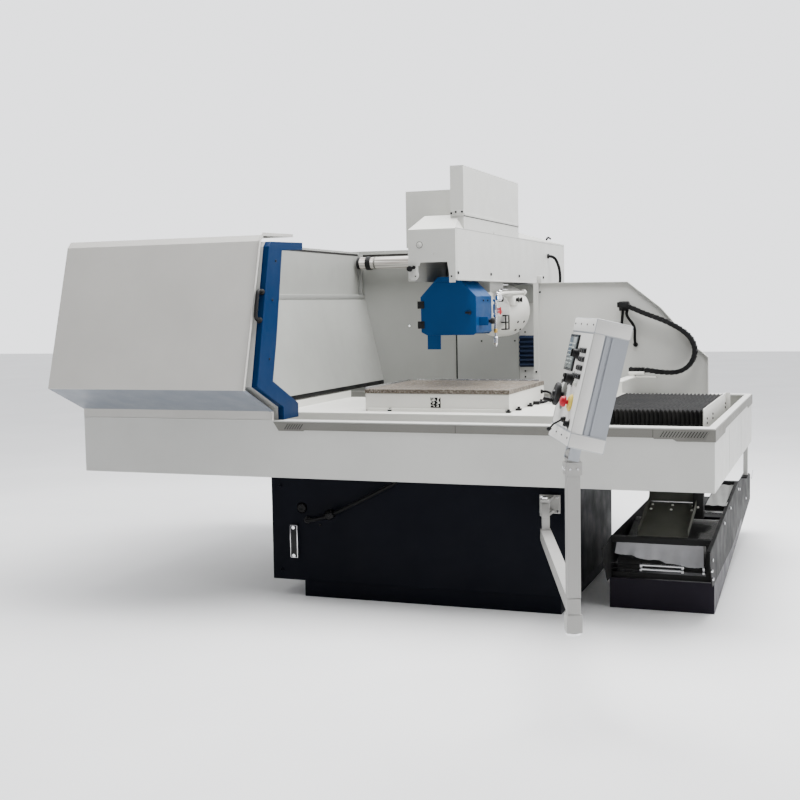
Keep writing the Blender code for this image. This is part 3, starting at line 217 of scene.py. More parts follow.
def enamel(name, colour, roughness=0.42, soil=0.10, grain=0.0, gloss=0.4):
    """Sprayed enamel: slight colour drift, faint smears of dust and an orange-peel surface."""
    made, tree, shader = new_material(name)
    shader.inputs["Specular IOR Level"].default_value = gloss
    drift = ramp(tree, noise(tree, 1.7, 4), ((0.30, shade(colour, 1 - soil)), (0.72, shade(colour, 1.03))))
    smear = spread(tree, noise(tree, 5.0, 6, (1.0, 1.0, 0.35), 0.7), 0.0, 0.35, 0.52, 0.80)
    dusty = mix(tree, smear, drift, shade(colour, 0.86))
    if grain > 0:
        specks = spread(tree, noise(tree, 420.0, 2), 0.0, grain, 0.50, 0.66)
        dusty = mix(tree, specks, dusty, shade(colour, 0.62))
    tree.links.new(dusty, shader.inputs["Base Color"])
    wear = spread(tree, noise(tree, 9.0, 5), roughness - 0.07, roughness + 0.10)
    tree.links.new(wear, shader.inputs["Roughness"])
    bump(tree, shader, noise(tree, 260.0, 3), ORANGE_PEEL, 0.6)
    return made


def hood_enamel():
    """Grey enamel with painted shade on the hood's underside, between its crease and its foot, where it is
    bluer and darker.
    """
    made = enamel("hood_enamel", srgb(188, 186, 181), 0.40)
    tree = made.node_tree
    shader = tree.nodes["Principled BSDF"]
    paint = shader.inputs["Base Color"].links[0].from_socket
    parts = tree.nodes.new("ShaderNodeSeparateXYZ")
    tree.links.new(object_position(tree), parts.inputs["Vector"])
    # Painted shade: the downward-facing part between the crease and the foot gets a darker blue-grey.
    underside_shade = spread(tree, parts.outputs["Z"], 1.0, 0.0, HOOD_CREASE - 0.004, HOOD_CREASE)
    shaded_paint = mix(tree, underside_shade, paint, srgb(108, 114, 123))
    foot = spread(tree, parts.outputs["Z"], 1.0, 0.0, HOOD_FOOT, HOOD_FOOT + 0.003)
    tree.links.new(mix(tree, foot, shaded_paint, paint), shader.inputs["Base Color"])
    return made


def metal(name, colour, roughness=0.3, lines=(1.0, 1.0, 1.0), scale=300.0, relief=0.00005):
    """Bare metal with faint stains, and machining lines along the axis that has the smallest scale."""
    made, tree, shader = new_material(name)
    stain = spread(tree, noise(tree, 14.0, 6), 0.0, 0.5, 0.50, 0.80)
    tree.links.new(mix(tree, stain, colour, shade(colour, 0.72)), shader.inputs["Base Color"])
    shader.inputs["Metallic"].default_value = 1.0
    grain = noise(tree, scale, 2, lines)
    tree.links.new(spread(tree, grain, roughness * 0.75, roughness * 1.3), shader.inputs["Roughness"])
    bump(tree, shader, grain, relief, 0.5)
    return made


def polymer(name, colour, roughness=0.45):
    """Moulded plastic or rubber with a fine matt texture and rubbed patches."""
    made, tree, shader = new_material(name)
    shader.inputs["Specular IOR Level"].default_value = 0.25
    rub = spread(tree, noise(tree, 22.0, 5), 0.0, 0.5, 0.50, 0.75)
    lighter = tuple(min(channel * 1.5 + 0.006, 1.0) for channel in colour[:3]) + (1.0,)
    tree.links.new(mix(tree, rub, colour, lighter), shader.inputs["Base Color"])
    wear = spread(tree, noise(tree, 35.0, 4), roughness - 0.1, roughness + 0.12)
    tree.links.new(wear, shader.inputs["Roughness"])
    bump(tree, shader, noise(tree, 500.0, 2), MOULD_TEXTURE, 0.7)
    return made


def chuck_face():
    """Ground chuck face: brown-grey speckle, blotches and fine grinding lines."""
    made, tree, shader = new_material("chuck_face")
    specks = ramp(
        tree,
        noise(tree, 95.0, 6, roughness=0.75),
        ((0.36, srgb(50, 42, 35)), (0.50, srgb(104, 96, 86)), (0.62, srgb(160, 152, 142))),
    )
    blotches = spread(tree, noise(tree, 7.0, 5), 0.0, 0.55, 0.42, 0.70)
    tree.links.new(mix(tree, blotches, specks, srgb(96, 86, 76)), shader.inputs["Base Color"])
    shader.inputs["Metallic"].default_value = 0.35
    tree.links.new(spread(tree, noise(tree, 30.0, 4), 0.38, 0.62), shader.inputs["Roughness"])
    bump(tree, shader, noise(tree, 240.0, 2, (0.15, 1.0, 1.0)), 0.00008, 0.6)
    return made


def cloth(name, colour, weave=900.0, relief=0.0003, dust=0.25):
    """Coated cloth: a fine two-way weave with dust on it."""
    made, tree, shader = new_material(name)
    waves = []
    for direction in ("X", "Y"):
        wave = tree.nodes.new("ShaderNodeTexWave")
        wave.bands_direction = direction
        wave.inputs["Scale"].default_value = weave / 6.28
        wave.inputs["Distortion"].default_value = 0.6
        tree.links.new(object_position(tree), wave.inputs["Vector"])
        waves.append(wave.outputs["Fac"])
    weft = mix(tree, 0.5, waves[0], waves[1])
    layer = spread(tree, noise(tree, 11.0, 6), 0.0, dust, 0.35, 0.70)
    tree.links.new(mix(tree, layer, colour, srgb(112, 110, 106)), shader.inputs["Base Color"])
    shader.inputs["Roughness"].default_value = 0.88
    shader.inputs["Specular IOR Level"].default_value = 0.12
    shader.inputs["Sheen Weight"].default_value = 0.03
    shader.inputs["Sheen Roughness"].default_value = 0.5
    bump(tree, shader, weft, relief, 0.35)
    return made


def abrasive_face():
    """Vitrified grit with open pores."""
    made, tree, shader = new_material("abrasive_grit")
    grit = noise(tree, 700.0, 4, roughness=0.8)
    tree.links.new(
        ramp(
            tree,
            grit,
            ((0.35, srgb(120, 108, 100)), (0.50, srgb(190, 182, 174)), (0.65, srgb(226, 221, 214))),
        ),
        shader.inputs["Base Color"],
    )
    shader.inputs["Roughness"].default_value = 0.92
    bump(tree, shader, grit, 0.0006, 0.8)
    return made


def glow_tube():
    """Lamp tube with painted highlight and shade streaks along it, under a clear outer skin."""
    made, tree, shader = new_material("lamp_tube_glass")
    # Painted reflections: light and dark streaks along the tube stand in for highlights and shade on the
    # glass.
    glint_streaks = noise(tree, 5.0, 2, (0.2, 9.0, 9.0))
    glint_tint = ramp(tree, glint_streaks, ((0.36, srgb(112, 102, 94)), (0.58, srgb(230, 227, 222))))
    tree.links.new(glint_tint, shader.inputs["Base Color"])
    shader.inputs["Roughness"].default_value = 0.18
    shader.inputs["Coat Weight"].default_value = 0.8
    shader.inputs["Coat Roughness"].default_value = 0.05
    return made


MATERIALS = {
    "machine_grey": enamel("grey_enamel", srgb(190, 190, 186), 0.40),
    "machine_white": enamel("white_enamel", srgb(216, 215, 209), 0.38, soil=0.07),
    "trim_grey": enamel("trim_enamel", srgb(112, 111, 106), 0.50, grain=0.5, gloss=0.2),
    "base_navy": enamel("navy_enamel", srgb(13, 15, 22), 0.38, soil=0.25, gloss=0.04),
    "guard_blue": enamel("blue_enamel", srgb(8, 64, 116), 0.36, soil=0.12, gloss=0.10),
    "cast_iron": metal("cast_iron_machined", srgb(120, 121, 122), 0.5, scale=160.0, relief=0.0002),
    "ground_steel": metal("ground_steel_bare", srgb(196, 196, 197), 0.24, (0.1, 1.0, 1.0)),
    "chuck_plate": chuck_face(),
    "bellows_cloth": cloth("bellows_cloth_black", srgb(9, 9, 10), dust=0.08),
    "black_plastic": polymer("black_moulding", srgb(14, 14, 15)),
    "black_rubber": enamel("black_hose_rubber", srgb(8, 8, 9), 0.45, soil=0.1, gloss=0.12),
    "abrasive": abrasive_face(),
    "chrome": metal("bright_chrome", srgb(222, 222, 224), 0.10, scale=80.0, relief=0.00002),
    "pendant_grey": enamel("pendant_enamel", srgb(156, 160, 166), 0.40, soil=0.06),
    "screen_glass": polymer("screen_surround", srgb(30, 33, 36), 0.22),
    "lamp_glass": glow_tube(),
    "stop_red": polymer("stop_red_gloss", srgb(178, 20, 40), 0.30),
    "stop_yellow": polymer("stop_yellow_matt", srgb(214, 190, 84), 0.45),
    "filter_grey": enamel("filter_enamel", srgb(38, 38, 38), 0.50, soil=0.22, grain=0.3, gloss=0.03),
    "filter_dark": enamel("filter_tank_enamel", srgb(36, 33, 41), 0.35, soil=0.3, gloss=0.05),
    "filter_paper": cloth("filter_fleece", srgb(150, 150, 153), 500.0, 0.0006, 0.3),
}
MATERIALS.update(
    {
        "brass": metal("brass_bare", srgb(196, 158, 84), 0.28),
        "pendant_cap": enamel("pendant_cap_enamel", srgb(214, 213, 209), 0.46, soil=0.06),
        "trim_shadow": enamel("trim_shadow_enamel", srgb(42, 41, 40), 0.6, grain=0.4, gloss=0.1),
        "wall_seam": enamel("wall_seam_enamel", srgb(140, 141, 138), 0.5),
        "frame_blue": enamel("frame_blue_enamel", srgb(2, 38, 76), 0.36, soil=0.12, gloss=0.10),
        # Painted shade: the pendant arm's white enamel, darkened to stand for the shade on it.
        "arm_white_shaded": enamel("arm_enamel_shaded", srgb(158, 157, 154), 0.40, soil=0.08),
        "hood_grey": hood_enamel(),
        "wall_grey": enamel("wall_enamel", srgb(151, 152, 148), 0.42),
        "canopy_white": enamel("canopy_enamel", srgb(189, 189, 184), 0.40, soil=0.07),
        "chute_grey": enamel("chute_enamel", srgb(76, 77, 70), 0.50, soil=0.3, grain=0.3, gloss=0.1),
        "signal_pale": polymer("signal_pale_lens", srgb(188, 190, 182), 0.25),
        "display": polymer("display_glass_tint", srgb(104, 112, 112), 0.15),
        "display_lines": polymer("display_line_tint", srgb(160, 168, 166), 0.4),
        "oil_black": enamel("oil_black_steel", srgb(4, 4, 5), 0.25, soil=0.05, gloss=0.12),
        "belt_wire": cloth("belt_wire_mesh", srgb(52, 52, 53), 700.0, 0.0005, 0.15),
        "navy_cloth": cloth("navy_cloth_coated", srgb(18, 34, 60), dust=0.08),
        "fresh_fleece": cloth("fresh_fleece", srgb(206, 206, 204), 500.0, 0.0006, 0.12),
    }
)


# CAD nodes with a look of their own, apart from the rest of their slot; the hood's underside and the pendant
# arm, post and bracket carry painted shade.
SPECIAL_LOOKS = {
    "front_hood": "hood_grey",
    "left_wall": "wall_grey",
    "rear_wall_left": "wall_grey",
    "column_cover": "wall_grey",
    "canopy": "canopy_white",
    "filter_chute": "chute_grey",
    "guard_frame": "frame_blue",
    "pendant_arm": "arm_white_shaded",
    "pendant_post": "arm_white_shaded",
    "pendant_bracket": "arm_white_shaded",
}


def dress_frame():
    """Give every CAD node its finished material."""
    for entry in frame["record"]["subparts"]:
        node = NODES[entry["node"]]
        look = MATERIALS[SPECIAL_LOOKS.get(entry["node"], entry["material_slot"])]
        for index in range(len(node.data.materials)):
            node.data.materials[index] = look
        if not node.data.materials:
            node.data.materials.append(look)


# ---------------------------------------------------------------- shapes


def ring(centre, direction, side, radius, steps):
    """Points round a centre, square to a direction, starting at a side."""
    across = direction.cross(side)
    angles = [2 * math.pi * step / steps for step in range(steps)]
    return [centre + (side * math.cos(angle) + across * math.sin(angle)) * radius for angle in angles]


class Former:
    """Collects closed shapes into one mesh and makes a riding piece of them."""

    def __init__(self, matrix=None):
        self.mesh = bmesh.new()
        self.matrix = matrix or Matrix.Identity(4)

    def faces(self, points, faces):
        """Add raw points and faces, placed by the former's matrix."""
        verts = [self.mesh.verts.new(self.matrix @ Vector(point)) for point in points]
        for face in faces:
            self.mesh.faces.new([verts[index] for index in face])

    def box(self, low, high, bevel=0.0):
        """Add a box, with its edges rounded if a bevel is given."""
        corners = [(x, y, z) for x in (low[0], high[0]) for y in (low[1], high[1]) for z in (low[2], high[2])]
        verts = [self.mesh.verts.new(self.matrix @ Vector(corner)) for corner in corners]
        sides = ((0, 1, 3, 2), (4, 6, 7, 5), (0, 4, 5, 1), (2, 3, 7, 6), (0, 2, 6, 4), (1, 5, 7, 3))
        made = [self.mesh.faces.new([verts[index] for index in side]) for side in sides]
        if bevel > 0:
            edges = {edge for face in made for edge in face.edges}
            bmesh.ops.bevel(
                self.mesh, geom=list(edges), offset=bevel, segments=2, affect="EDGES", profile=0.5
            )

    def skin(self, rows, closed=False, capped=False):
        """Add the faces between rows of points; a closed row joins its end to its start."""
        count = len(rows[0])
        steps = count if closed else count - 1
        faces = []
        for first in range(0, (len(rows) - 1) * count, count):
            for step in range(steps):
                after = (step + 1) % count
                faces.append((first + step, first + after, first + count + after, first + count + step))
        if capped:
            faces.append(tuple(reversed(range(count))))
            faces.append(tuple(range((len(rows) - 1) * count, len(rows) * count)))
        self.faces([point for row in rows for point in row], faces)

    def turned(self, profile, origin, axis, steps=20):
        """Add a lathe shape: profile gives (distance along the axis, radius)."""
        direction = Vector(axis).normalized()
        side = direction.orthogonal().normalized()
        rows = []
        for along, radius in profile:
            rows.append(ring(Vector(origin) + direction * along, direction, side, radius, steps))
        self.skin(rows, closed=True, capped=True)

    def rod(self, start, end, radius, steps=16):
        """Add a round bar with eased ends."""
        axis = Vector(end) - Vector(start)
        ease = radius * 0.15
        length = axis.length
        profile = ((0.0, radius - ease), (ease, radius), (length - ease, radius), (length, radius - ease))
        self.turned(profile, start, axis, steps)

    def prism(self, outline, start, end, axis="X"):
        """Add an outline extruded along an axis; outline gives the other two coordinates in order."""
        place = {
            "X": lambda a, b, along: (along, a, b),
            "Y": lambda a, b, along: (a, along, b),
            "Z": lambda a, b, along: (a, b, along),
        }[axis]
        count = len(outline)
        points = [place(a, b, along) for along in (start, end) for a, b in outline]
        faces = [(i, (i + 1) % count, count + (i + 1) % count, count + i) for i in range(count)]
        faces += [tuple(reversed(range(count))), tuple(range(count, 2 * count))]
        self.faces(points, faces)

    def tube(self, points, radius, steps=10):
        """Add a round tube along a route."""
        points = [Vector(point) for point in points]
        side = None
        rows = []
        for index, point in enumerate(points):
            ahead = points[min(index + 1, len(points) - 1)] - points[max(index - 1, 0)]
            ahead.normalize()
            side = ahead.orthogonal() if side is None else side - ahead * side.dot(ahead)
            side = side.normalized()
            rows.append(ring(point, ahead, side, radius, steps))
        self.skin(rows, closed=True, capped=True)

    def screw(self, place, axis, radius=0.006):
        """Add a socket screw head that stands on a surface."""
        height = radius * 0.7
        profile = ((0.0, radius), (height * 0.7, radius), (height, radius * 0.85), (height, radius * 0.5))
        self.turned(profile + ((height * 0.4, radius * 0.45),), place, axis, 14)

    def hexagon(self, place, axis, across, height):
        """Add a hexagon nut or bolt head."""
        profile = ((0.0, across * 0.56), (height * 0.85, across * 0.58), (height, across * 0.50))
        self.turned(profile, place, axis, 6)

    def made(self, name, look, body=None, smooth=True):
        """Make the object, with its finish from a material slot, and let it ride on its body."""
        bmesh.ops.recalc_face_normals(self.mesh, faces=self.mesh.faces)
        data = bpy.data.meshes.new(name)
        self.mesh.to_mesh(data)
        self.mesh.free()
        built = bpy.data.objects.new(name, data)
        bpy.context.scene.collection.objects.link(built)
        data.materials.append(MATERIALS[look])
        if smooth:
            data.shade_smooth()
            data.set_sharp_from_angle(angle=math.radians(35))
        if body:
            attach(built, body)
        return built


def smooth_path(points, per_span):
    """Catmull-Rom curve through the points."""
    points = [Vector(point) for point in points]
    ends = [points[0] * 2 - points[1]] + points + [points[-1] * 2 - points[-2]]
    made = []
    for i in range(1, len(ends) - 2):
        before, start, end, after = ends[i - 1 : i + 3]
        for step in range(per_span):
            t = step / per_span
            straight = 2 * start + (end - before) * t
            square = (2 * before - 5 * start + 4 * end - after) * t**2
            cube = (3 * start - before - 3 * end + after) * t**3
            made.append(0.5 * (straight + square + cube))
    made.append(points[-1])
    return made


# ---------------------------------------------------------------- cords


def lay_cord(node, body, points, radius):
    """A rubber cord along its route, in place of its CAD node; both ends go into the machine."""
    route = smooth_path(points, 3)
    curve = bpy.data.curves.new(f"{node}_line", "CURVE")
    curve.dimensions = "3D"
    curve.bevel_depth = radius
    curve.bevel_resolution = 4
    curve.use_fill_caps = True
    line = curve.splines.new("POLY")
    line.points.add(len(route) - 1)
    for knot, place in zip(line.points, route):
        knot.co = (*place, 1.0)
    line.use_smooth = True
    made = bpy.data.objects.new(f"{node}_cord", curve)
    bpy.context.scene.collection.objects.link(made)
    curve.materials.append(MATERIALS["black_rubber"])
    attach(made, body)
    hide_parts(node)


def build_cords():
    """The five short hoses and leads of the machine."""
    front = BED_FRONT - 0.0003
    lay_cord(
        "oil_hose",
        "machine",
        (
            (-0.600, front - 0.001, 0.420),
            (-0.600, front - 0.014, 0.420),
            (-0.592, front - 0.034, 0.422),
            (-0.555, front - 0.048, 0.428),
            (-0.480, -1.350, 0.450),
            (-0.400, -1.345, 0.482),
            (-0.250, -1.330, 0.555),
            (-0.140, -1.326, 0.612),
            (-0.088, -1.325, 0.640),
            (-0.080, -1.325, 0.660),
            (-0.080, -1.325, 0.6733),
        ),
        0.011,
    )
    lay_cord(
        "chuck_lead",
        "table",
        (
            (0.426, -0.230, 1.042),
            (0.437, -0.230, 1.042),
            (0.462, -0.234, 1.042),
            (0.492, -0.250, 1.030),
            (0.500, -0.300, 1.005),
            (0.480, -0.360, 0.992),
            (0.452, -0.400, 0.9885),
        ),
        0.007,
    )
    for node, x_top, x_low in (("carrier_lead_a", 0.772, 0.764), ("carrier_lead_b", 0.800, 0.842)):
        lay_cord(
            node,
            "machine",
            (
                (x_top, 0.535, 1.505),
                (x_top - 0.002, 0.530, 1.470),
                (x_low, 0.540, 1.400),
                (x_low, 0.560, 1.330),
                (x_low, 0.574, 1.296),
                (x_low, 0.586, 1.285),
                (x_low, 0.599, 1.285),
            ),
            0.009,
        )
    lay_cord(
        "canopy_cable",
        "ram",
        (
            (0.129, 1.177, 1.882),
            (0.149, 1.177, 1.882),
            (0.185, 1.190, 1.866),
            (0.207, 1.212, 1.805),
            (0.211, 1.232, 1.740),
            (0.207, 1.240, 1.700),
            (0.199, 1.245, 1.655),
        ),
        0.010,
    )


def build_cord_fittings():
    """Nuts and glands where the cords leave the machine."""
    nuts = Former()
    nuts.hexagon((-0.600, BED_FRONT - 0.0003, 0.420), TO_FRONT, 0.034, 0.016)
    nuts.turned(((0.0, 0.018), (0.012, 0.018), (0.014, 0.014)), (-0.080, -1.325, 0.6735), DOWN)
    nuts.made("hose_fittings", "black_plastic", "machine")
    union = Former()
    union.turned(
        ((0.0, 0.013), (0.004, 0.018), (0.020, 0.018), (0.023, 0.021), (0.046, 0.021), (0.050, 0.014)),
        (-0.478, -1.3502, 0.4505),
        (0.90, 0.045, 0.40),
        20,
    )
    union.hexagon((-0.461, -1.3495, 0.4580), (0.90, 0.045, 0.40), 0.050, 0.036)
    union.made("hose_union", "oil_black", "machine")
    gland = Former()
    gland.hexagon((0.4252, -0.230, 1.042), TO_RIGHT, 0.024, 0.010)
    gland.box((0.4255, -0.425, TABLE_TOP), (0.462, -0.398, 1.0), 0.003)
    gland.made("chuck_lead_gland", "black_plastic", "table")
    canopy_gland = Former()
    canopy_gland.hexagon((CANOPY_SIDE, 1.177, 1.882), TO_RIGHT, 0.030, 0.012)
    canopy_gland.box((0.1356, 1.222, 1.6450), (0.2220, 1.268, 1.6720), 0.003)
    canopy_gland.made("canopy_gland", "black_plastic", "ram")
    wall_glands = Former()
    for x in (0.764, 0.842):
        wall_glands.hexagon((x, 0.5997, 1.285), TO_FRONT, 0.028, 0.012)
    wall_glands.made("wall_glands", "black_plastic", "machine")


# ---------------------------------------------------------------- bellows and cable chain


def build_bellows():
    """Folded cloth way covers: a pleated strip over the top and down both sides."""
    front, back = -1.077, -0.003
    depth, foot = 0.015, 0.937
    pitch = (BELLOWS_END - BELLOWS_START) / BELLOWS_PLEATS
    # Each pleat runs from its valley up to its crest and back, as (share of the pitch, share of the depth).
    pleat = ((0.0, 1.0), (0.16, 0.55), (0.44, 0.0), (0.56, 0.0), (0.84, 0.55))
    for sign, side in ((1, "right"), (-1, "left")):
        rings = []
        for fold in range(BELLOWS_PLEATS):
            base = BELLOWS_START + pitch * fold
            rings += [(base + share * pitch, inset * depth) for share, inset in pleat]
        rings.append((BELLOWS_END, depth))
        rows = []
        for x, inset in rings:
            low_y, high_y, top = front + inset, back - inset, BELLOWS_TOP - inset
            section = [(low_y, foot), (low_y, top - 0.006), (low_y + 0.006, top)]
            section += [(high_y - 0.006, top), (high_y, top - 0.006), (high_y, foot)]
            rows.append([(sign * x, y, z) for y, z in section])
        folds = Former()
        folds.skin(rows)
        made = folds.made(f"bellows_folds_{side}", "bellows_cloth", smooth=False)
        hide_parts(f"bellows_{side}")
        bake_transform(made)


def build_column_bellows():
    """Pleated way cover in the column opening."""
    left, right, low, high = -0.0280, 0.1300, 1.1180, 1.3360
    front, back, folds = 0.9960, 1.0190, 7
    pitch = (high - low) / folds
    rows = []
    for fold in range(2 * folds + 1):
        y, z = front if fold % 2 else back, low + fold * pitch / 2
        rows.append([(left, y, z), (right, y, z)])
    pleats = Former()
    pleats.skin(rows)
    made = pleats.made("column_folds", "navy_cloth", "machine", smooth=False)
    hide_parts("column_bellows")


def build_cable_chain():
    """Open-link energy chain from the rear wall down and round to the table bracket."""
    y = CARRIER_Y
    track = smooth_path(
        (
            (0.760, y, 1.536),
            (0.815, y, 1.524),
            (0.899, y, 1.487),
            (1.036, y, 1.433),
            (1.140, y, 1.376),
            (1.198, y, 1.318),
            (1.220, y, 1.245),
            (1.192, y, 1.165),
            (1.125, y, 1.118),
            (1.036, y, 1.112),
            (0.915, y, 1.1263),
        ),
        24,
    )
    pitch, height, plate, half_width = 0.0285, 0.015, 0.005, 0.030
    travelled, stations = 0.0, [track[0]]
    for before, after in zip(track, track[1:]):
        travelled += (after - before).length
        if travelled >= pitch:
            stations.append(after)
            travelled = 0.0
    links = Former()
    for before, after in zip(stations, stations[1:]):
        middle = (before + after) / 2
        along = (after - before).normalized()
        turn = Matrix((along, Vector(TO_BACK), along.cross(Vector(TO_BACK)))).transposed().to_4x4()
        links.matrix = Matrix.Translation(middle) @ turn
        outline = []
        for step in range(13):
            angle = math.pi * (step / 12 - 0.5)
            outline.append((pitch * 0.42 + height * 0.55 * math.cos(angle), height * math.sin(angle)))
        outline += [(-pitch * 0.42, height * 0.8), (-pitch * 0.42, -height * 0.8)]
        for edge in (-half_width, half_width - plate):
            links.prism(outline, edge, edge + plate, "Y")
        for level in (-height * 0.92, height * 0.72):
            links.box((-pitch * 0.20, -0.027, level), (pitch * 0.24, 0.027, level + height * 0.2), 0.0008)
    made = links.made("cable_chain", "black_plastic")
    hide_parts("cable_carrier")
    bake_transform(made)


def build_carrier_ends():
    """Pale block on the table bracket and dark block on the rear wall."""
    ends = Former()
    ends.box((0.812, 0.494, 1.0970), (0.908, 0.566, 1.1180), 0.004)
    ends.box((0.818, 0.497, 1.0885), (0.850, 0.563, 1.1000), 0.003)
    ends.made("chain_end_block", "machine_white", "table")
    fixed = Former()
    fixed.box((0.742, 0.496, 1.522), (0.812, 0.564, 1.556), 0.004)
    fixed.box((0.742, 0.560, 1.500), (0.800, 0.5997, 1.560), 0.003)
    fixed.made("chain_fixed_block", "black_plastic", "machine")


def build_carrier_foot():
    """The last links of the cable carrier, which lie on the pale end block."""
    links = Former()
    for link in range(4):
        left = 0.812 + 0.0235 * link
        links.box((left, 0.500, 1.1185), (left + 0.0215, 0.560, 1.1425), 0.003)
    links.box((0.812, 0.512, 1.1185), (0.904, 0.548, 1.1400))
    for y in (0.520, 0.540):
        links.screw((0.8227, y, 1.1425), UP, 0.005)
    links.made("carrier_foot_links", "black_plastic", "table")


# ---------------------------------------------------------------- fine pieces on the castings and sheets


def screw_group(name, look, body, places, axis, radius):
    """Equal screws that face the same way, as one piece."""
    group = Former()
    for place in places:
        group.screw(place, axis, radius)
    group.made(name, look, body)


def build_base_details():
    """Plug, sight glass and screws on the front of the bed."""
    plug = Former()
    profile = ((0.0, 0.022), (0.026, 0.022), (0.026, 0.025), (0.031, 0.024), (0.033, 0.015), (0.031, 0.009))
    plug.turned(profile, (-0.635, BED_FRONT + 0.025, 0.483), TO_FRONT, 32)
    plug.screw((-0.528, BED_FRONT, 0.395), TO_FRONT, 0.007)
    plug.made("bed_plug", "oil_black", "machine")
    glass = Former()
    glass.box((-0.6875, BED_FRONT - 0.013, 0.246), (-0.6665, BED_FRONT - 0.006, 0.359), 0.002)
    glass.made("sight_glass", "screen_glass", "machine")
    bolts = Former()
    for z in (0.226, 0.378):
        bolts.hexagon((-0.677, BED_FRONT - 0.0225, z), TO_FRONT, 0.018, 0.006)
    for x in (-0.6985, -0.6575):
        bolts.box((x, BED_FRONT - 0.0245, 0.218), (x + 0.003, BED_FRONT - 0.0222, 0.386), 0.0006)
    bolts.made("bed_bolts", "chrome", "machine")
    cover = Former()
    cover.box((-0.6945, BED_FRONT - 0.0232, 0.216), (-0.6595, BED_FRONT - 0.0222, 0.388), 0.0004)
    cover.made("sight_cover", "black_plastic", "machine")
    corners = [(x, BED_FRONT, z) for x in (-0.760, 0.760) for z in (0.140, 0.600)]
    screw_group("bed_screws", "base_navy", "machine", corners, TO_FRONT, 0.010)


def build_trim_slots():
    """Slanted slots and joint lines in the trim band along the tray's front."""
    slots = Former()
    for count, start, width, slant in ((7, -0.628, 0.005, 0.020), (15, 1.300, 0.004, 0.018)):
        for slot in range(count):
            x = start + 0.014 * slot
            outline = [(x, 0.930), (x + width, 0.930), (x + slant + width, 0.958), (x + slant, 0.958)]
            slots.prism(outline, TRIM_FACE - 0.0004, TRIM_FACE + 0.0002, "Y")
    for x in (0.304, 1.268):
        slots.box((x, TRIM_FACE - 0.0002, 0.9265), (x + 0.002, TRIM_FACE + 0.0002, 0.9665))
    slots.made("trim_slots", "trim_shadow", "machine")


def build_tray_details():
    """Seams of the tray and the drain below it."""
    seams = Former()
    for y in (-0.80, -0.10):
        seams.box((1.5502, y - 0.001, 0.680), (1.5508, y + 0.001, 0.905))
    seams.box((TRAY_LEFT + 0.02, -1.5018, 0.9705), (-0.69, -1.4998, 0.9765), 0.0005)
    seams.made("tray_seams", "machine_grey", "machine")
    drain = Former()
    profile = ((0.0, 0.060), (0.010, 0.060), (0.012, 0.046), (0.090, 0.046), (0.094, 0.040))
    drain.turned(profile, (1.22, 0.45, 0.6742), DOWN, 28)
    drain.made("tray_drain", "machine_grey", "machine")


def build_panel_details():
    """Screws in the hood's top and the inner walls, and a clip on the right wall's post."""
    screws = Former()
    for x in (-1.75, -1.45, -1.15, -0.85):
        screws.screw((x, -1.2104, 1.9405), UP, 0.006)
    screws.screw((-1.0505, -1.075, 1.830), TO_RIGHT, 0.005)
    for x, z in ((0.226, 1.629), (0.198, 1.110)):
        screws.screw((x, 0.5778, z), TO_FRONT, 0.007)
    screws.made("panel_screws", "black_plastic", "machine")
    clip = Former()
    clip.box((0.205, 0.578, 1.6905), (0.236, 0.603, 1.735), 0.002)
    clip.made("wall_clip", "machine_grey", "machine")


def wall_lean(height):
    """X of the leaning part of the left wall at a height."""
    return -1.018 + (1.633 - height) * 0.133 / 0.585


def build_wall_seams():
    """Ledge, seams and foot seal of the left walls, with painted shadow lines under the ledge and rims and a
    painted shadow strip at the rear wall's edge.
    """
    seams = Former()
    seams.box((-1.0160, WALL_FRONT, 1.6060), (-1.0060, WALL_BACK, 1.6345), 0.001)
    seams.box((-1.0495, WALL_FRONT, 1.6332), (-1.0160, WALL_BACK, 1.6345))
    seams.box((-1.0495, 0.570, 1.6345), (-1.0180, 0.594, 1.912), 0.001)
    for height in (1.585, 1.140):
        lean = wall_lean(height)
        seams.box((lean + 0.0005, 0.560, height - 0.001), (lean + 0.002, 0.598, height + 0.001))
    for radius, upper_y, lower_y in ((0.0022, -0.423, -0.331), (0.0030, 0.545, 0.545)):
        seams.tube([(wall_lean(z), y, z) for y, z in ((upper_y, 1.600), (lower_y, 1.060))], radius, 6)
    seams.made("wall_seams", "wall_seam", "machine")
    foot = Former()
    foot.box((-0.8848, WALL_FRONT, 1.0260), (-0.8790, WALL_BACK, 1.0520), 0.001)
    foot.made("wall_foot_seal", "black_rubber", "machine")
    # Painted shadow: dark lines under the ledge and under the rims of the left and rear walls.
    gap = Former()
    gap.box((-1.0150, WALL_FRONT, 1.6010), (-1.0080, WALL_BACK, 1.6058))
    gap.box((-1.0470, WALL_FRONT, 1.9000), (-1.0445, WALL_BACK, 1.9120))
    gap.box((-1.0400, 0.5965, 1.8950), (-0.3600, 0.5998, 1.9080))
    gap.made("wall_rim_shadow_lines", "trim_shadow", "machine")
    # Painted shadow: a dark strip along the rear wall's free edge.
    edge_shadow = Former()
    edge_shadow.box((-0.3568, 0.596, 0.980), (-0.3500, 0.606, 1.925), 0.001)
    edge_shadow.made("wall_edge_shadow_strip", "black_rubber", "machine")


def build_guard_details():
    """Handle collars and frame screws of the sliding guard."""
    collars = Former()
    for y, z in ((-1.6282, 1.640), (-1.6626, 1.498)):
        collars.turned(((0.0, 0.016), (0.010, 0.015), (0.014, 0.011)), (-0.672, y, z), (0, -0.972, 0.235), 20)
    collars.made("handle_collars", "black_plastic", "sliding_guard")
    places = ((-0.6548, -1.60, 1.30), (-0.6548, -1.55, 1.60), (-0.6548, -1.50, 1.80))
    screw_group("guard_screws", "black_plastic", "sliding_guard", places, TO_RIGHT, 0.006)


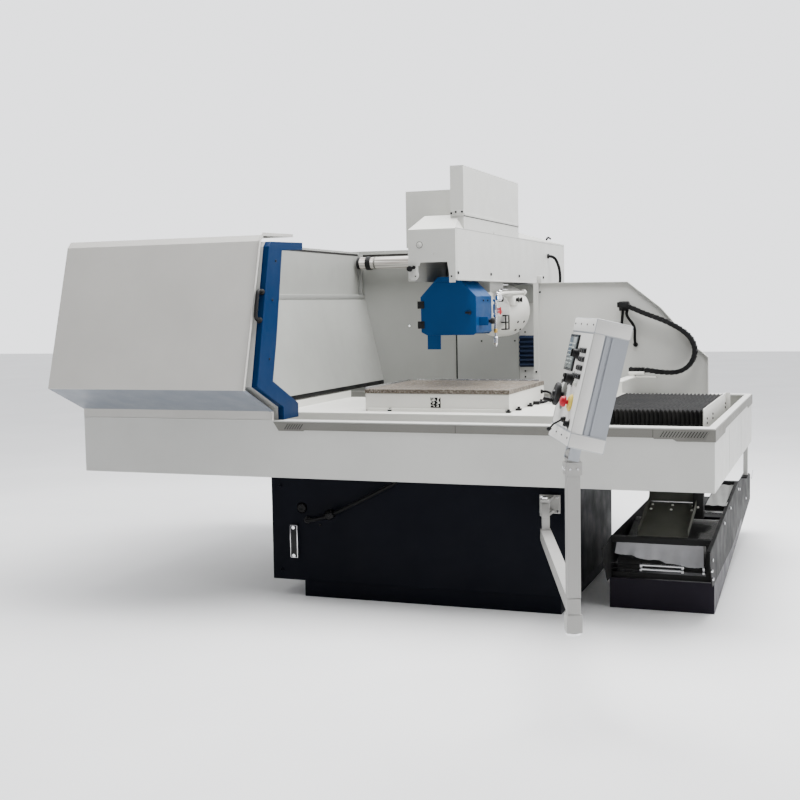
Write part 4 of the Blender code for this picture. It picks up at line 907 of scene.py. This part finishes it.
def build_chuck_clamps():
    """Clamps round the chuck's foot, and a dark strip of painted shadow under its front."""
    clamps = Former()
    for y in (-0.796, -0.541, -0.287):
        for side, edge in ((1, CHUCK_RIGHT), (-1, CHUCK_LEFT)):
            low, high = sorted((edge + side * 0.0005, edge + side * 0.030))
            clamps.box((low, y - 0.016, TABLE_TOP), (high, y + 0.016, 0.992), 0.003)
            clamps.hexagon((edge + side * 0.016, y, 0.992), UP, 0.016, 0.010)
    for x in (-0.262, 0.412):
        clamps.box((x, -0.958, TABLE_TOP), (x + 0.026, CHUCK_FRONT - 0.0005, 0.990), 0.003)
        clamps.hexagon((x + 0.013, -0.948, 0.990), UP, 0.015, 0.009)
    # Painted shadow: a thin dark strip along the foot of the chuck's front.
    chuck_base_shadow = (CHUCK_LEFT + 0.002, CHUCK_FRONT - 0.0008, TABLE_TOP)
    clamps.box(chuck_base_shadow, (CHUCK_RIGHT - 0.002, CHUCK_FRONT - 0.0002, 0.9845))
    clamps.made("chuck_clamps", "black_plastic", "table")


def build_chuck_label():
    """Square label with a random pattern that holds no data."""
    label = Former()
    label.box((-0.0215, -0.9348, 1.0000), (0.0465, -0.9342, 1.0590), 0.0002)
    label.made("label_plate", "machine_white", "table")
    pattern = Former()
    chance = random.Random(7)
    cells, width, height = 10, 0.0058, 0.0056
    for row in range(cells):
        for column in range(cells):
            border = row in (0, cells - 1) or column in (0, cells - 1)
            if chance.random() < (0.85 if border else 0.62):
                x, z = -0.0175 + width * column, 1.0012 + height * row
                pattern.box((x, -0.9351, z), (x + width, -0.9348, z + height))
    pattern.made("label_pattern", "black_plastic", "table", smooth=False)


def build_chuck_plate():
    """Pole lines on the chuck's face, and the stop rails with their screws."""
    lines = Former()
    for pole in range(13):
        x = CHUCK_LEFT + 0.055 + 0.0595 * pole
        lines.box((x, CHUCK_FRONT + 0.02, CHUCK_TOP), (x + 0.0015, CHUCK_BACK - 0.02, CHUCK_TOP + 0.0002))
    lines.made("chuck_pole_lines", "brass", "table")
    rails = Former()
    low, high, thick = 1.062, 1.108, 0.012
    left, back = CHUCK_LEFT - 0.0145, CHUCK_BACK + 0.0145
    rails.box((left, CHUCK_FRONT + 0.03, low), (left + thick, CHUCK_BACK - 0.03, high), 0.002)
    rails.box((CHUCK_LEFT + 0.03, back - thick, low), (CHUCK_RIGHT - 0.03, back, high), 0.002)
    rails.made("chuck_stop_rails", "ground_steel", "table")
    places = [(left, y, 1.083) for y in (-0.80, -0.55, -0.30)]
    screw_group("stop_rail_screws", "black_plastic", "table", places, TO_LEFT, 0.006)


def build_plate_details():
    """Rivets on the bellows end plates."""
    rivets = Former()
    for sign in (-1, 1):
        for y in (-0.95, -0.686, -0.02):
            for z in (0.945, 0.968):
                rivets.screw((sign * 1.4538, y, z), (sign, 0, 0), 0.006)
    rivets.made("plate_rivets", "black_plastic", "machine")


def build_canopy_screws():
    """Screws, two dark knobs and the rear hook of the canopy."""
    dark = Former()
    for y, z in ((-0.891, 1.731), (-0.253, 1.733), (0.392, 1.733), (1.040, 1.733)):
        dark.screw((CANOPY_SIDE, y, z), TO_RIGHT, 0.009)
        dark.screw((-CANOPY_SIDE, y, z), TO_LEFT, 0.006)
    for x, z in ((0.062, 2.060), (0.088, 2.066), (0.124, 2.066)):
        dark.screw((x, -0.7642, z), TO_FRONT, 0.006)
    dark.screw((-0.093, -0.9335, 1.716), TO_FRONT, 0.004)
    dark.screw((0.112, CANOPY_FRONT, 1.712), TO_FRONT, 0.005)
    wide_knob = ((0.0, 0.010), (0.014, 0.012), (0.018, 0.016), (0.030, 0.015))
    dark.turned(wide_knob, (-0.119, -0.9305, 1.757), TO_FRONT)
    dark.turned(((0.0, 0.006), (0.016, 0.008), (0.020, 0.010)), (-0.096, -0.9305, 1.764), TO_FRONT)
    hook = ((0.050, 1.52, 1.990), (0.050, 1.505, 2.012), (0.058, 1.52, 2.030), (0.066, 1.56, 2.022))
    dark.tube(smooth_path(hook, 4), 0.007)
    dark.made("canopy_screws", "black_plastic", "ram")


def build_canopy_fittings():
    """Plug, bosses, lips, strips and joint lines of the canopy, and a painted shadow line along the roof's
    fold.
    """
    plug = (-0.069, CANOPY_FRONT, 1.885)
    pale = Former()
    pale.turned(((0.0, 0.016), (0.0016, 0.016), (0.0022, 0.014)), plug, TO_FRONT, 32)
    pale.turned(((0.0, 0.010), (0.0035, 0.010), (0.0045, 0.008)), plug, TO_FRONT, 32)
    for x in (0.010, 0.026):
        pale.turned(((0.0, 0.003), (0.003, 0.002)), (x, CANOPY_FRONT, 1.838), TO_FRONT, 10)
    pale.box((0.1350, -0.925, 1.6902), (0.1440, 1.680, 1.6990), 0.001)
    pale.box((0.1350, -0.903, 1.7000), (0.1357, -0.900, 1.966))
    pale.box((0.0570, -0.7640, 2.045), (0.1310, -0.7602, 2.078), 0.001)
    pale.box((0.1311, -0.755, 2.046), (0.1350, 0.405, 2.062), 0.001)
    seam = [(0.0790, 2.0395), (0.0800, 2.0420), (0.1350, 1.9735), (0.1350, 1.9705)]
    pale.prism(seam, -0.172, -0.168, "Y")
    pale.turned(((0.0, 0.030), (0.004, 0.030), (0.005, 0.028)), (-0.104, -0.9260, 1.724), TO_FRONT, 28)
    pale.box((-0.1315, -0.9305, 1.726), (-0.078, -0.9262, 1.7705), 0.0008)
    pale.made("canopy_fittings", "canopy_white", "ram")
    gap = Former()
    gap.box((0.1312, -0.757, 2.0425), (0.1330, 0.407, 2.0455))
    gap.turned(((0.0, 0.0185), (0.0008, 0.0185), (0.0009, 0.0150)), plug, TO_FRONT, 32)
    gap.made("canopy_joint_line", "trim_shadow", "ram")
    # Painted shadow: a thin grey line where the roof slope meets the canopy's side.
    fold = Former()
    fold.box((0.1345, -0.925, 1.9685), (0.1356, 1.680, 1.9712))
    fold.made("canopy_roof_fold_shadow", "wall_seam", "ram")
    ends = ((0.0860, -0.170, 2.0350), (0.1290, -0.170, 1.9800))
    screw_group("canopy_seam_screws", "chrome", "ram", ends, (0.80, 0, 0.62), 0.005)


def build_cover_hinges():
    """Hinge barrels and leaves, latch knob and bar of the hinged wheel cover."""
    hinges = Former()
    x, y = COVER_HINGE_X, -0.664
    for z in (1.447, 1.560):
        hinges.rod((x, y, z - 0.021), (x, y, z + 0.021), 0.0086)
        hinges.box((x, -0.6708, z - 0.0206), (x + 0.0305, -0.6560, z + 0.0206), 0.001)
    latch = ((0.0, 0.013), (0.008, 0.012), (0.010, 0.006), (0.022, 0.006))
    hinges.turned(latch, (0.125, -0.6602, 1.513), TO_FRONT)
    hinges.box((0.108, -0.6860, 1.507), (0.142, -0.6790, 1.519), 0.002)
    hinges.made("cover_hinges", "black_plastic", "cover_door")


def shell_radius(y):
    """Radius of the bell-shaped rear housing at a depth."""
    share = min(max((y - 0.19) / 0.20, 0.0), 1.0)
    return 0.1235 + 0.0415 * math.sin(share * math.pi / 2)


def build_head_knobs():
    """Tap knob, plugs, grille bars, housing screws and connectors of the wheel head."""
    black = Former()
    knob = ((0.0, 0.009), (0.008, 0.010), (0.012, 0.017), (0.026, 0.018), (0.034, 0.012))
    black.turned(knob, (0.2155, -0.578, 1.464), TO_RIGHT)
    for y in (-0.43, -0.52):
        black.screw((0.1652, y, 1.58), TO_RIGHT, 0.006)
    black.rod((0.182, -0.305, 1.585), (0.224, -0.305, 1.585), 0.015)
    black.box((0.196, -0.335, 1.598), (0.206, -0.262, 1.612), 0.003)
    for z in (1.402, 1.444, 1.486):
        black.box((0.112, 0.040, z - 0.004), (0.146, 0.118, z + 0.004), 0.0015)
    for y in (0.040, 0.112):
        black.box((0.138, y, 1.398), (0.146, y + 0.007, 1.490), 0.001)
    for y, z in ((0.322, 1.442), (0.447, 1.442), (0.374, 1.392), (0.490, 1.392)):
        x = math.sqrt(shell_radius(y) ** 2 - (z - HOUSING_HEIGHT) ** 2)
        black.screw((x, y, z), (x, 0, z - HOUSING_HEIGHT), 0.008)
    for y in (0.262, 0.345):
        black.rod((0.150, y, 1.582), (0.166, y, 1.582), 0.012)
        black.box((0.162, y - 0.003, 1.566), (0.169, y + 0.003, 1.598), 0.001)
    black.made("head_knobs", "black_plastic", "wheel_head")


def build_valve_block():
    """Coolant valve block and its pale hose along the head."""
    block = Former()
    block.box((0.080, 0.205, 1.545), (0.1515, 0.400, 1.606), 0.005)
    block.box((0.082, -0.235, 1.585), (0.116, -0.140, 1.628), 0.004)
    route = [(0.214, -0.372, 1.612), (0.200, -0.270, 1.617), (0.168, -0.100, 1.622)]
    route += [(0.140, 0.15, 1.626), (0.128, 0.52, 1.630)]
    block.tube(smooth_path(route, 6), 0.0095)
    end = ((0.0, 0.012), (0.004, 0.018), (0.030, 0.018), (0.034, 0.012))
    block.turned(end, (0.128, 0.515, 1.630), TO_BACK)
    block.made("valve_block", "machine_white", "wheel_head")


def build_housing_shell():
    """Bell-shaped rear of the spindle housing, and the blank label in front of it."""
    shell = Former()
    depths = (0.190, 0.215, 0.240, 0.270, 0.300, 0.340, 0.380, 0.430, 0.490, 0.550)
    profile = [(y, shell_radius(y)) for y in depths]
    profile += [(0.566, shell_radius(0.55) - 0.004), (HOUSING_REAR, 0.135), (HOUSING_REAR, 0.100)]
    shell.turned(profile, (0.0, 0.0, HOUSING_HEIGHT), TO_BACK, 48)
    shell.made("housing_shell", "machine_white", "wheel_head")
    label = Former()
    label.box((0.1256, -0.135, 1.501), (0.1266, 0.019, 1.519), 0.0003)
    label.made("head_label", "stop_red", "wheel_head")


def build_coolant_fittings():
    """Nuts, gauge and union of the coolant pipe, and bolts round the spindle nose."""
    bright = Former()
    x, y = 0.232, -0.500
    nuts = ((1.572, 0.030, 0.016), (1.548, 0.026, 0.012), (1.486, 0.026, 0.014), (1.360, 0.022, 0.012))
    for z, across, height in nuts:
        bright.hexagon((x, y, z), UP, across, height)
    bright.hexagon((0.213, -0.385, 1.6110), (0.24, -0.96, -0.04), 0.030, 0.018)
    bright.hexagon((0.160, -0.160, 1.6265), (0.4, -0.9, -0.08), 0.028, 0.018)
    gauge = ((0.0, 0.020), (0.004, 0.021), (0.016, 0.021), (0.018, 0.018))
    bright.turned(gauge, (x + 0.014, y, 1.592), (1, -0.6, 0.2), 24)
    for eighth in (1, 2, 3):
        angle = math.pi * eighth / 4
        place = (0.074 * math.cos(angle), -0.3502, HOUSING_HEIGHT + 0.074 * math.sin(angle))
        bright.screw(place, TO_FRONT, 0.006)
    bright.made("coolant_fittings", "chrome", "wheel_head")
    union = Former()
    union.turned(((0.0, 0.009), (0.004, 0.011), (0.020, 0.011), (0.024, 0.009)), (x, y, 1.395), UP, 20)
    union.made("coolant_union", "brass", "wheel_head")


def build_column_details():
    """Screws and top strip of the column cover."""
    screws = Former()
    for x in (-0.500, -0.300, -0.060):
        for z in (0.990, 1.300, 1.580):
            screws.screw((x, 1.0076, z), TO_FRONT, 0.006)
    for z in (1.05, 1.09, 1.36):
        screws.screw((0.010, 1.0198, z), TO_FRONT, 0.006)
    screws.made("column_screws", "black_plastic", "machine")
    strip = Former()
    strip.box((-0.520, 1.0030, 1.560), (0.130, 1.0070, 1.686), 0.001)
    strip.box((0.130, 1.0030, 1.560), (0.180, 1.0070, 1.640), 0.001)
    strip.box((-0.520, 1.0000, 1.676), (0.130, 1.0035, 1.686), 0.001)
    strip.made("column_top_strip", "wall_grey", "machine")


def build_column_rear():
    """Lifting eyes and a slatted panel on the back of the column."""
    eyes = Former()
    eye_y, eye_z, radius = 1.594, 0.56, 0.026
    boss = ((0.0, 0.026), (0.010, 0.026), (0.012, 0.016), (0.026, 0.014))
    for x in (-0.40, 0.40):
        eyes.turned(boss, (x, 1.5602, eye_z), TO_BACK, 24)
        angles = [step * math.pi / 8 for step in range(17)]
        eyes.tube([(x + radius * math.cos(a), eye_y, eye_z + radius * math.sin(a)) for a in angles], 0.007)
    eyes.made("lifting_eyes", "cast_iron", "machine")
    panel = Former()
    panel.box((-0.26, 1.5402, 0.78), (0.26, 1.5432, 1.52), 0.002)
    for z in (0.90, 0.93, 0.96, 0.99):
        panel.box((-0.16, 1.5432, z), (0.16, 1.5462, z + 0.010), 0.002)
    panel.made("column_rear_panel", "machine_white", "machine")
    places = [(x, 1.5433, z) for x in (-0.24, 0.24) for z in (0.80, 1.15, 1.50)]
    screw_group("column_rear_screws", "black_plastic", "machine", places, TO_BACK, 0.007)


def build_arm_details():
    """Bolts of the pendant bracket, knuckle and post."""
    bolts = Former()
    for x in (0.690, 0.770):
        for z in (0.526, 0.595):
            bolts.screw((x, BED_FRONT - 0.0124, z), TO_FRONT, 0.007)
    bolts.hexagon((KNUCKLE.x, KNUCKLE.y, 0.602), UP, 0.026, 0.010)
    bolts.made("bracket_bolts", "chrome", "machine")
    post = Former(Matrix.Translation((ELBOW_X, ELBOW_Y, 0.0)) @ Matrix.Rotation(PENDANT_YAW, 4, "Z"))
    for across in (-0.014, 0.014):
        post.screw((0.0312, across, 0.948), TO_RIGHT, 0.005)
        post.screw((across, -0.0312, 0.948), TO_FRONT, 0.005)
    boss = ((0.0, 0.021), (0.004, 0.021), (0.006, 0.012))
    post.turned(boss, (0.0322, 0.0, 1.0), TO_RIGHT, 24)
    post.turned(boss, (-0.0322, 0.0, 1.0), TO_LEFT, 24)
    post.turned(((0.0, 0.026), (0.004, 0.030), (0.010, 0.030)), (0.0, 0.0, 0.3195), UP, 24)
    post.made("post_screws", "chrome", "pendant_post")


# ---------------------------------------------------------------- pendant


def pendant_former():
    """A former whose Z runs up the tilted pendant and whose -Y looks out of its face."""
    head = Matrix.Translation((ELBOW_X, ELBOW_Y, 1.0)) @ Matrix.Rotation(PENDANT_YAW, 4, "Z")
    return Former(head @ Matrix.Rotation(PENDANT_LEAN, 4, "X"))


def build_pendant_caps():
    """Pale end caps, front plate round the stop button, side plates, edges and cap screws."""
    foot, top, cap, skin = PENDANT_FOOT, PENDANT_TOP, PENDANT_CAP, 0.0007
    wide, deep = PENDANT_HALF_WIDTH + skin, PENDANT_HALF_DEPTH + skin
    caps = pendant_former()
    for low, high in ((foot - skin, foot + cap + skin), (top - cap - skin, top + skin)):
        caps.box((-wide, -deep, low), (wide, deep, high), 0.005)
    stop_x, stop_z, opening = 0.072, foot + 0.150, 0.024
    low_z, high_z = foot + cap + 0.004, top - cap - 0.004
    for (x_low, z_low), (x_high, z_high) in (
        ((-0.190, low_z), (0.190, stop_z - opening)),
        ((-0.190, stop_z + opening), (0.190, high_z)),
        ((-0.190, stop_z - opening), (stop_x - opening, stop_z + opening)),
        ((stop_x + opening, stop_z - opening), (0.190, stop_z + opening)),
    ):
        caps.box((x_low, PENDANT_PLATE, z_low), (x_high, PENDANT_FACE + 0.001, z_high))
    for side in (-1, 1):
        low_x, high_x = sorted((side * 0.1950, side * 0.1972))
        caps.box((low_x, -0.0628, foot + cap), (high_x, -0.0245, top - cap), 0.0004)
    caps.made("pendant_caps", "pendant_cap", "pendant_head")
    edge = pendant_former()
    front, back = PENDANT_FACE - 0.003, PENDANT_FACE + 0.004
    for low in (-0.196, 0.191):
        edge.box((low, front, foot + cap), (low + 0.005, back, top - cap), 0.001)
    edge.made("pendant_edges", "machine_grey", "pendant_head")
    small = pendant_former()
    for x in (-0.165, -0.055, 0.055, 0.165):
        for z in (top - cap * 0.45, foot + cap * 0.55):
            small.screw((x, -deep, z), TO_FRONT, 0.0035)
    small.made("pendant_cap_screws", "black_plastic", "pendant_head")


def build_pendant_display():
    """Lit display with two columns of plain bars, which stand for readings."""
    face, foot = PENDANT_FACE, PENDANT_FOOT
    display = pendant_former()
    display.box((-0.176, face - 0.0098, foot + 0.272), (-0.040, face - 0.0078, foot + 0.390), 0.001)
    display.made("display_glass", "display", "pendant_head")
    lines = pendant_former()
    for row in range(6):
        z = foot + 0.288 + 0.015 * row
        for x, length in ((-0.166, 0.05 + 0.012 * (row % 3)), (-0.096, 0.03 + 0.008 * (row % 2))):
            lines.box((x, face - 0.0102, z), (x + length, face - 0.0097, z + 0.004))
    lines.made("display_lines", "display_lines", "pendant_head", smooth=False)


def build_pendant_keys():
    """Round keys under and beside the display, and two small lamps."""
    low_key = ((0.0, 0.008), (0.003, 0.008), (0.004, 0.006))
    high_key = ((0.0, 0.0105), (0.003, 0.0105), (0.006, 0.009), (0.009, 0.008))
    keys = pendant_former()
    for z, columns in ((0.240, (0, 1, 2, 3, 4)), (0.216, (0, 4))):
        for column in columns:
            keys.turned(low_key, (-0.175 + 0.030 * column, PENDANT_PLATE, PENDANT_FOOT + z), TO_FRONT, 18)
    for column in range(3):
        for row in range(4):
            place = (0.060 + 0.032 * column, PENDANT_PLATE, PENDANT_FOOT + 0.250 + 0.032 * row)
            keys.turned(high_key, place, TO_FRONT, 20)
    keys.made("pendant_keys", "black_plastic", "pendant_head")
    lamps = pendant_former()
    for x in (0.070, 0.100):
        place = (x, PENDANT_PLATE, PENDANT_FOOT + 0.222)
        lamps.turned(((0.0, 0.009), (0.004, 0.009), (0.008, 0.005)), place, TO_FRONT, 20)
    lamps.made("pendant_lamps", "signal_pale", "pendant_head")


def build_pendant_dials():
    """Rings and scale ticks round the knobs and the handwheel."""
    face, foot = PENDANT_FACE, PENDANT_FOOT
    rings = pendant_former()
    for x, z, radius in (
        (0.004, 0.330, 0.026),
        (0.010, 0.235, 0.030),
        (0.120, 0.075, 0.020),
        (-0.098, 0.166, 0.054),
    ):
        profile = ((0.0, radius), (0.0012, radius), (0.0016, radius - 0.001))
        rings.turned(profile, (x, face - 0.0002, foot + z), TO_FRONT, 36)
    rings.made("dial_rings", "trim_grey", "pendant_head")
    ticks = pendant_former()
    for step in range(24):
        angle = 2 * math.pi * step / 24
        for x, z, radius in ((0.004, 0.330, 0.022), (0.010, 0.235, 0.027), (-0.098, 0.166, 0.050)):
            at_x, at_z = x + radius * math.cos(angle), foot + z + radius * math.sin(angle)
            low = (at_x - 0.0006, face - 0.0022, at_z - 0.0018)
            ticks.box(low, (at_x + 0.0006, face - 0.0012, at_z + 0.0018))
    ticks.made("dial_ticks", "machine_white", "pendant_head", smooth=False)


# ---------------------------------------------------------------- band filter


def build_filter_fittings():
    """Bolts of the side plate, tie rods with their nuts, and small rods."""
    bright = Former()
    for y, z in (
        (-0.62, 0.380),
        (-1.20, 0.300),
        (-1.215, 0.250),
        (-1.17, 0.200),
        (-0.28, 0.405),
        (0.20, 0.440),
        (0.30, 0.425),
        (0.75, 0.30),
    ):
        bright.hexagon((1.5052, y, z), TO_RIGHT, 0.016, 0.008)
    for z in TIE_ROD_HEIGHTS:
        bright.rod((1.140, TIE_ROD_Y, z), (1.348, TIE_ROD_Y, z), 0.0065)
        for x in (1.134, 1.342, 1.446):
            bright.hexagon((x, TIE_ROD_Y, z), TO_RIGHT, 0.022, 0.012)
    bright.rod((1.378, -0.352, 0.390), (1.498, -0.352, 0.390), 0.008)
    bright.rod((1.112, -0.5625, 0.4735), (1.362, -0.5625, 0.4735), 0.006)
    bright.rod((1.5300, 0.95, 0.400), (1.5300, 1.05, 0.440), 0.004)
    bright.made("filter_fittings", "chrome", "machine")


def build_chute_screws():
    """Light screws in the chute and in the upright beside it."""
    plated = Former()
    for x in (1.130, 1.237, 1.345):
        for y, z in ((-0.600, 0.4607), (-0.660, 0.4465)):
            plated.screw((x, y, z), (0, -0.24, 0.97), 0.007)
    for z in (0.460, 0.600):
        plated.screw((1.3725, -0.6203, z), TO_FRONT, 0.006)
    plated.made("chute_screws", "machine_white", "machine")


def build_filter_brackets():
    """Dark ends of the tie rods, upright, upper edge of the side plate and front foot rail."""
    dark = Former()
    for z in TIE_ROD_HEIGHTS:
        dark.rod((0.989, TIE_ROD_Y, z), (1.462, TIE_ROD_Y, z), 0.004)
    dark.box((1.345, -0.620, 0.395), (1.400, -0.560, 0.640), 0.003)
    lower = [(-1.250, 0.345), (-1.000, 0.362), (-0.620, 0.398), (0.247, 0.470)]
    upper = [(y, z + 0.006) for y, z in reversed(lower)]
    dark.prism(lower + upper, 1.486, 1.5045, "X")
    dark.box((0.990, -1.052, 0.1556), (1.4955, -1.046, 0.184), 0.002)
    dark.made("filter_brackets", "filter_grey", "machine")


def build_deck_fleece():
    """Clean fleece laid on the filter's side deck, with slight waves."""
    rows, columns = 16, 10
    lines = []
    for row in range(rows + 1):
        y = -0.348 + 0.58 * row / rows
        z = 0.4245 + (y + 0.350) * 0.0525
        line = []
        for column in range(columns + 1):
            wave = 0.0022 * math.sin(9.0 * row / rows + 1.3 * column) + 0.0030
            line.append((1.382 + 0.112 * column / columns, y, z + wave))
        lines.append(line)
    deck = Former()
    deck.skin(lines)
    made = deck.made("deck_fleece", "fresh_fleece", "machine")


def build_hanging_band():
    """Used fleece that hangs from the front cross bar, with waves and a torn lower edge."""
    chance = random.Random(3)
    columns, rows = 72, 20
    left, right, top = 1.015, 1.448, 0.3346
    drops = []
    for column in range(columns + 1):
        slant = 0.044 + 0.048 * column / columns
        drops.append(slant + 0.005 * math.sin(column * 0.33) + 0.012 * chance.random())
    strips = []
    for column in range(columns + 1):
        share = column / columns
        around = drops[max(column - 2, 0) : column + 3]
        drop = sum(around) / len(around) + 0.012 * share
        strip = []
        for row in range(rows + 1):
            down = row / rows
            wave = 0.0060 * down * math.sin(share * 15.0) + 0.0035 * down * math.sin(share * 37.0 + 2.0)
            x = left + (right - left) * share + 0.010 * down * (share - 0.5)
            strip.append((x, -1.0460 - 0.030 * down**1.4 + wave, top - drop * down))
        strips.append(strip)
    band = Former()
    band.skin(strips)
    made = band.made("hanging_fleece", "filter_paper", "machine")
    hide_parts("used_band")


def build_filter_belt():
    """Mesh belt stretched round the drum and the front roller."""
    drum_radius, roller_radius, columns = 0.0822, 0.0242, 12
    gap = DRUM - ROLLER
    heading = math.atan2(gap.y, gap.x)
    lean = math.acos((roller_radius - drum_radius) / gap.length)
    loop = []
    for centre, radius, first, sweep in (
        (DRUM, drum_radius, heading - lean, 2 * lean),
        (ROLLER, roller_radius, heading + lean, 2 * (math.pi - lean)),
    ):
        for step in range(21):
            angle = first + sweep * step / 20
            loop.append(centre + radius * Vector((math.cos(angle), math.sin(angle))))
    width = BELT_RIGHT - BELT_LEFT
    rows = []
    for column in range(columns + 1):
        x = BELT_LEFT + width * column / columns
        rows.append([(x, place.x, place.y) for place in loop])
    belt = Former()
    belt.skin(rows, closed=True)
    made = belt.made("belt_mesh", "belt_wire", "machine")
    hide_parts("filter_belt")


def build_belt_wires():
    """Bright cross wires over the drum and along the belt's upper run."""
    places = []
    for step in range(36):
        angle = math.pi * (0.05 + 0.9 * step / 35)
        places.append(DRUM + 0.0826 * Vector((math.cos(angle), math.sin(angle))))
    front, rear = Vector((-0.965, 0.2408)), DRUM + Vector((-0.02, 0.0836))
    places += [front.lerp(rear, step / 43) for step in range(44)]
    wires = Former()
    for y, z in places:
        wires.rod((BELT_LEFT + 0.001, y, z), (BELT_RIGHT - 0.001, y, z), 0.0012, 6)
    wires.made("belt_mesh_wires", "chrome", "machine")


def build_lamp_details():
    """End caps, clip rings and edge lines of the work lamp."""
    caps = Former()
    profile = ((0.0, 0.0345), (0.004, 0.040), (0.016, 0.040), (0.020, 0.030), (0.028, 0.012))
    for x, axis in ((-1.0105, TO_LEFT), (-0.4055, TO_RIGHT)):
        caps.turned(profile, (x, LAMP_Y, LAMP_HEIGHT), axis, 28)
    caps.made("lamp_caps", "black_plastic", "machine")
    rings = Former()
    for x in (-0.905, -0.515):
        place = (x, LAMP_Y, LAMP_HEIGHT)
        rings.turned(((0.0, 0.0408), (0.006, 0.0415), (0.012, 0.0408)), place, TO_RIGHT, 28)
    for z in (1.829, 1.862):
        y = LAMP_Y - math.sqrt(LAMP_RADIUS**2 - (z - LAMP_HEIGHT) ** 2)
        rings.rod((-0.893, y, z), (-0.515, y, z), 0.0016, 8)
    rings.made("lamp_rings", "trim_grey", "machine")


# ---------------------------------------------------------------- stage


def build_stage():
    """Pale floor, soft overhead and side light, and a plain studio world."""
    bpy.ops.mesh.primitive_plane_add(size=60.0, location=(0.0, 0.0, 0.0))
    floor = bpy.context.object
    floor.name = "floor"
    made, tree, shader = new_material("pale_floor")
    tone = ramp(tree, noise(tree, 0.8, 3), ((0.3, srgb(236, 236, 236)), (0.7, srgb(243, 243, 243))))
    tree.links.new(tone, shader.inputs["Base Color"])
    shader.inputs["Roughness"].default_value = 0.75
    floor.data.materials.append(made)

    lights = (
        ("overhead", (0.5, -0.3, 5.6), (0.1, 0.0, 0.8), 4.5, 900.0),
        ("side_fill", (7.0, -2.5, 3.6), (0.5, -0.3, 1.0), 4.0, 190.0),
    )
    for name, place, target, size, power in lights:
        light = bpy.data.lights.new(name, "AREA")
        light.size = size
        light.energy = power
        lamp = bpy.data.objects.new(name, light)
        bpy.context.scene.collection.objects.link(lamp)
        lamp.location = place
        aim = Vector(target) - Vector(place)
        lamp.rotation_euler = aim.to_track_quat("-Z", "Y").to_euler()

    world = bpy.data.worlds.new("studio")
    bpy.context.scene.world = world
    world.use_nodes = True
    tree = world.node_tree
    background = tree.nodes["Background"]
    background.inputs["Color"].default_value = (0.96, 0.97, 1.0, 1.0)
    # A white backdrop behind the machine, and a dimmer room in front of it.
    direction = tree.nodes.new("ShaderNodeTexCoord")
    parts = tree.nodes.new("ShaderNodeSeparateXYZ")
    tree.links.new(direction.outputs["Generated"], parts.inputs["Vector"])
    strength = spread(tree, parts.outputs["Y"], WORLD_FRONT, WORLD_BACK, -0.6, 0.7)
    tree.links.new(strength, background.inputs["Strength"])


def build_camera():
    """Camera at the viewing angle that the machine is shown from."""
    lens = bpy.data.cameras.new("camera")
    lens.lens = CAMERA_LENS
    lens.sensor_width = SENSOR_WIDTH
    camera = bpy.data.objects.new("camera", lens)
    bpy.context.scene.collection.objects.link(camera)
    turn = (
        Matrix.Rotation(CAMERA_YAW, 4, "Z")
        @ Matrix.Rotation(math.pi / 2 - CAMERA_PITCH, 4, "X")
        @ Matrix.Rotation(CAMERA_ROLL, 4, "Z")
    )
    camera.matrix_world = Matrix.Translation(CAMERA_PLACE) @ turn
    bpy.context.scene.camera = camera


build_camera()
dress_frame()
build_cords()
build_cord_fittings()
build_bellows()
build_column_bellows()
build_cable_chain()
build_carrier_ends()
build_carrier_foot()
build_base_details()
build_trim_slots()
build_tray_details()
build_panel_details()
build_wall_seams()
build_guard_details()
build_chuck_clamps()
build_chuck_label()
build_chuck_plate()
build_plate_details()
build_canopy_screws()
build_canopy_fittings()
build_cover_hinges()
build_head_knobs()
build_valve_block()
build_housing_shell()
build_coolant_fittings()
build_column_details()
build_column_rear()
build_arm_details()
build_pendant_caps()
build_pendant_display()
build_pendant_keys()
build_pendant_dials()
build_filter_fittings()
build_chute_screws()
build_filter_brackets()
build_deck_fleece()
build_hanging_band()
build_filter_belt()
build_belt_wires()
build_lamp_details()
build_stage()
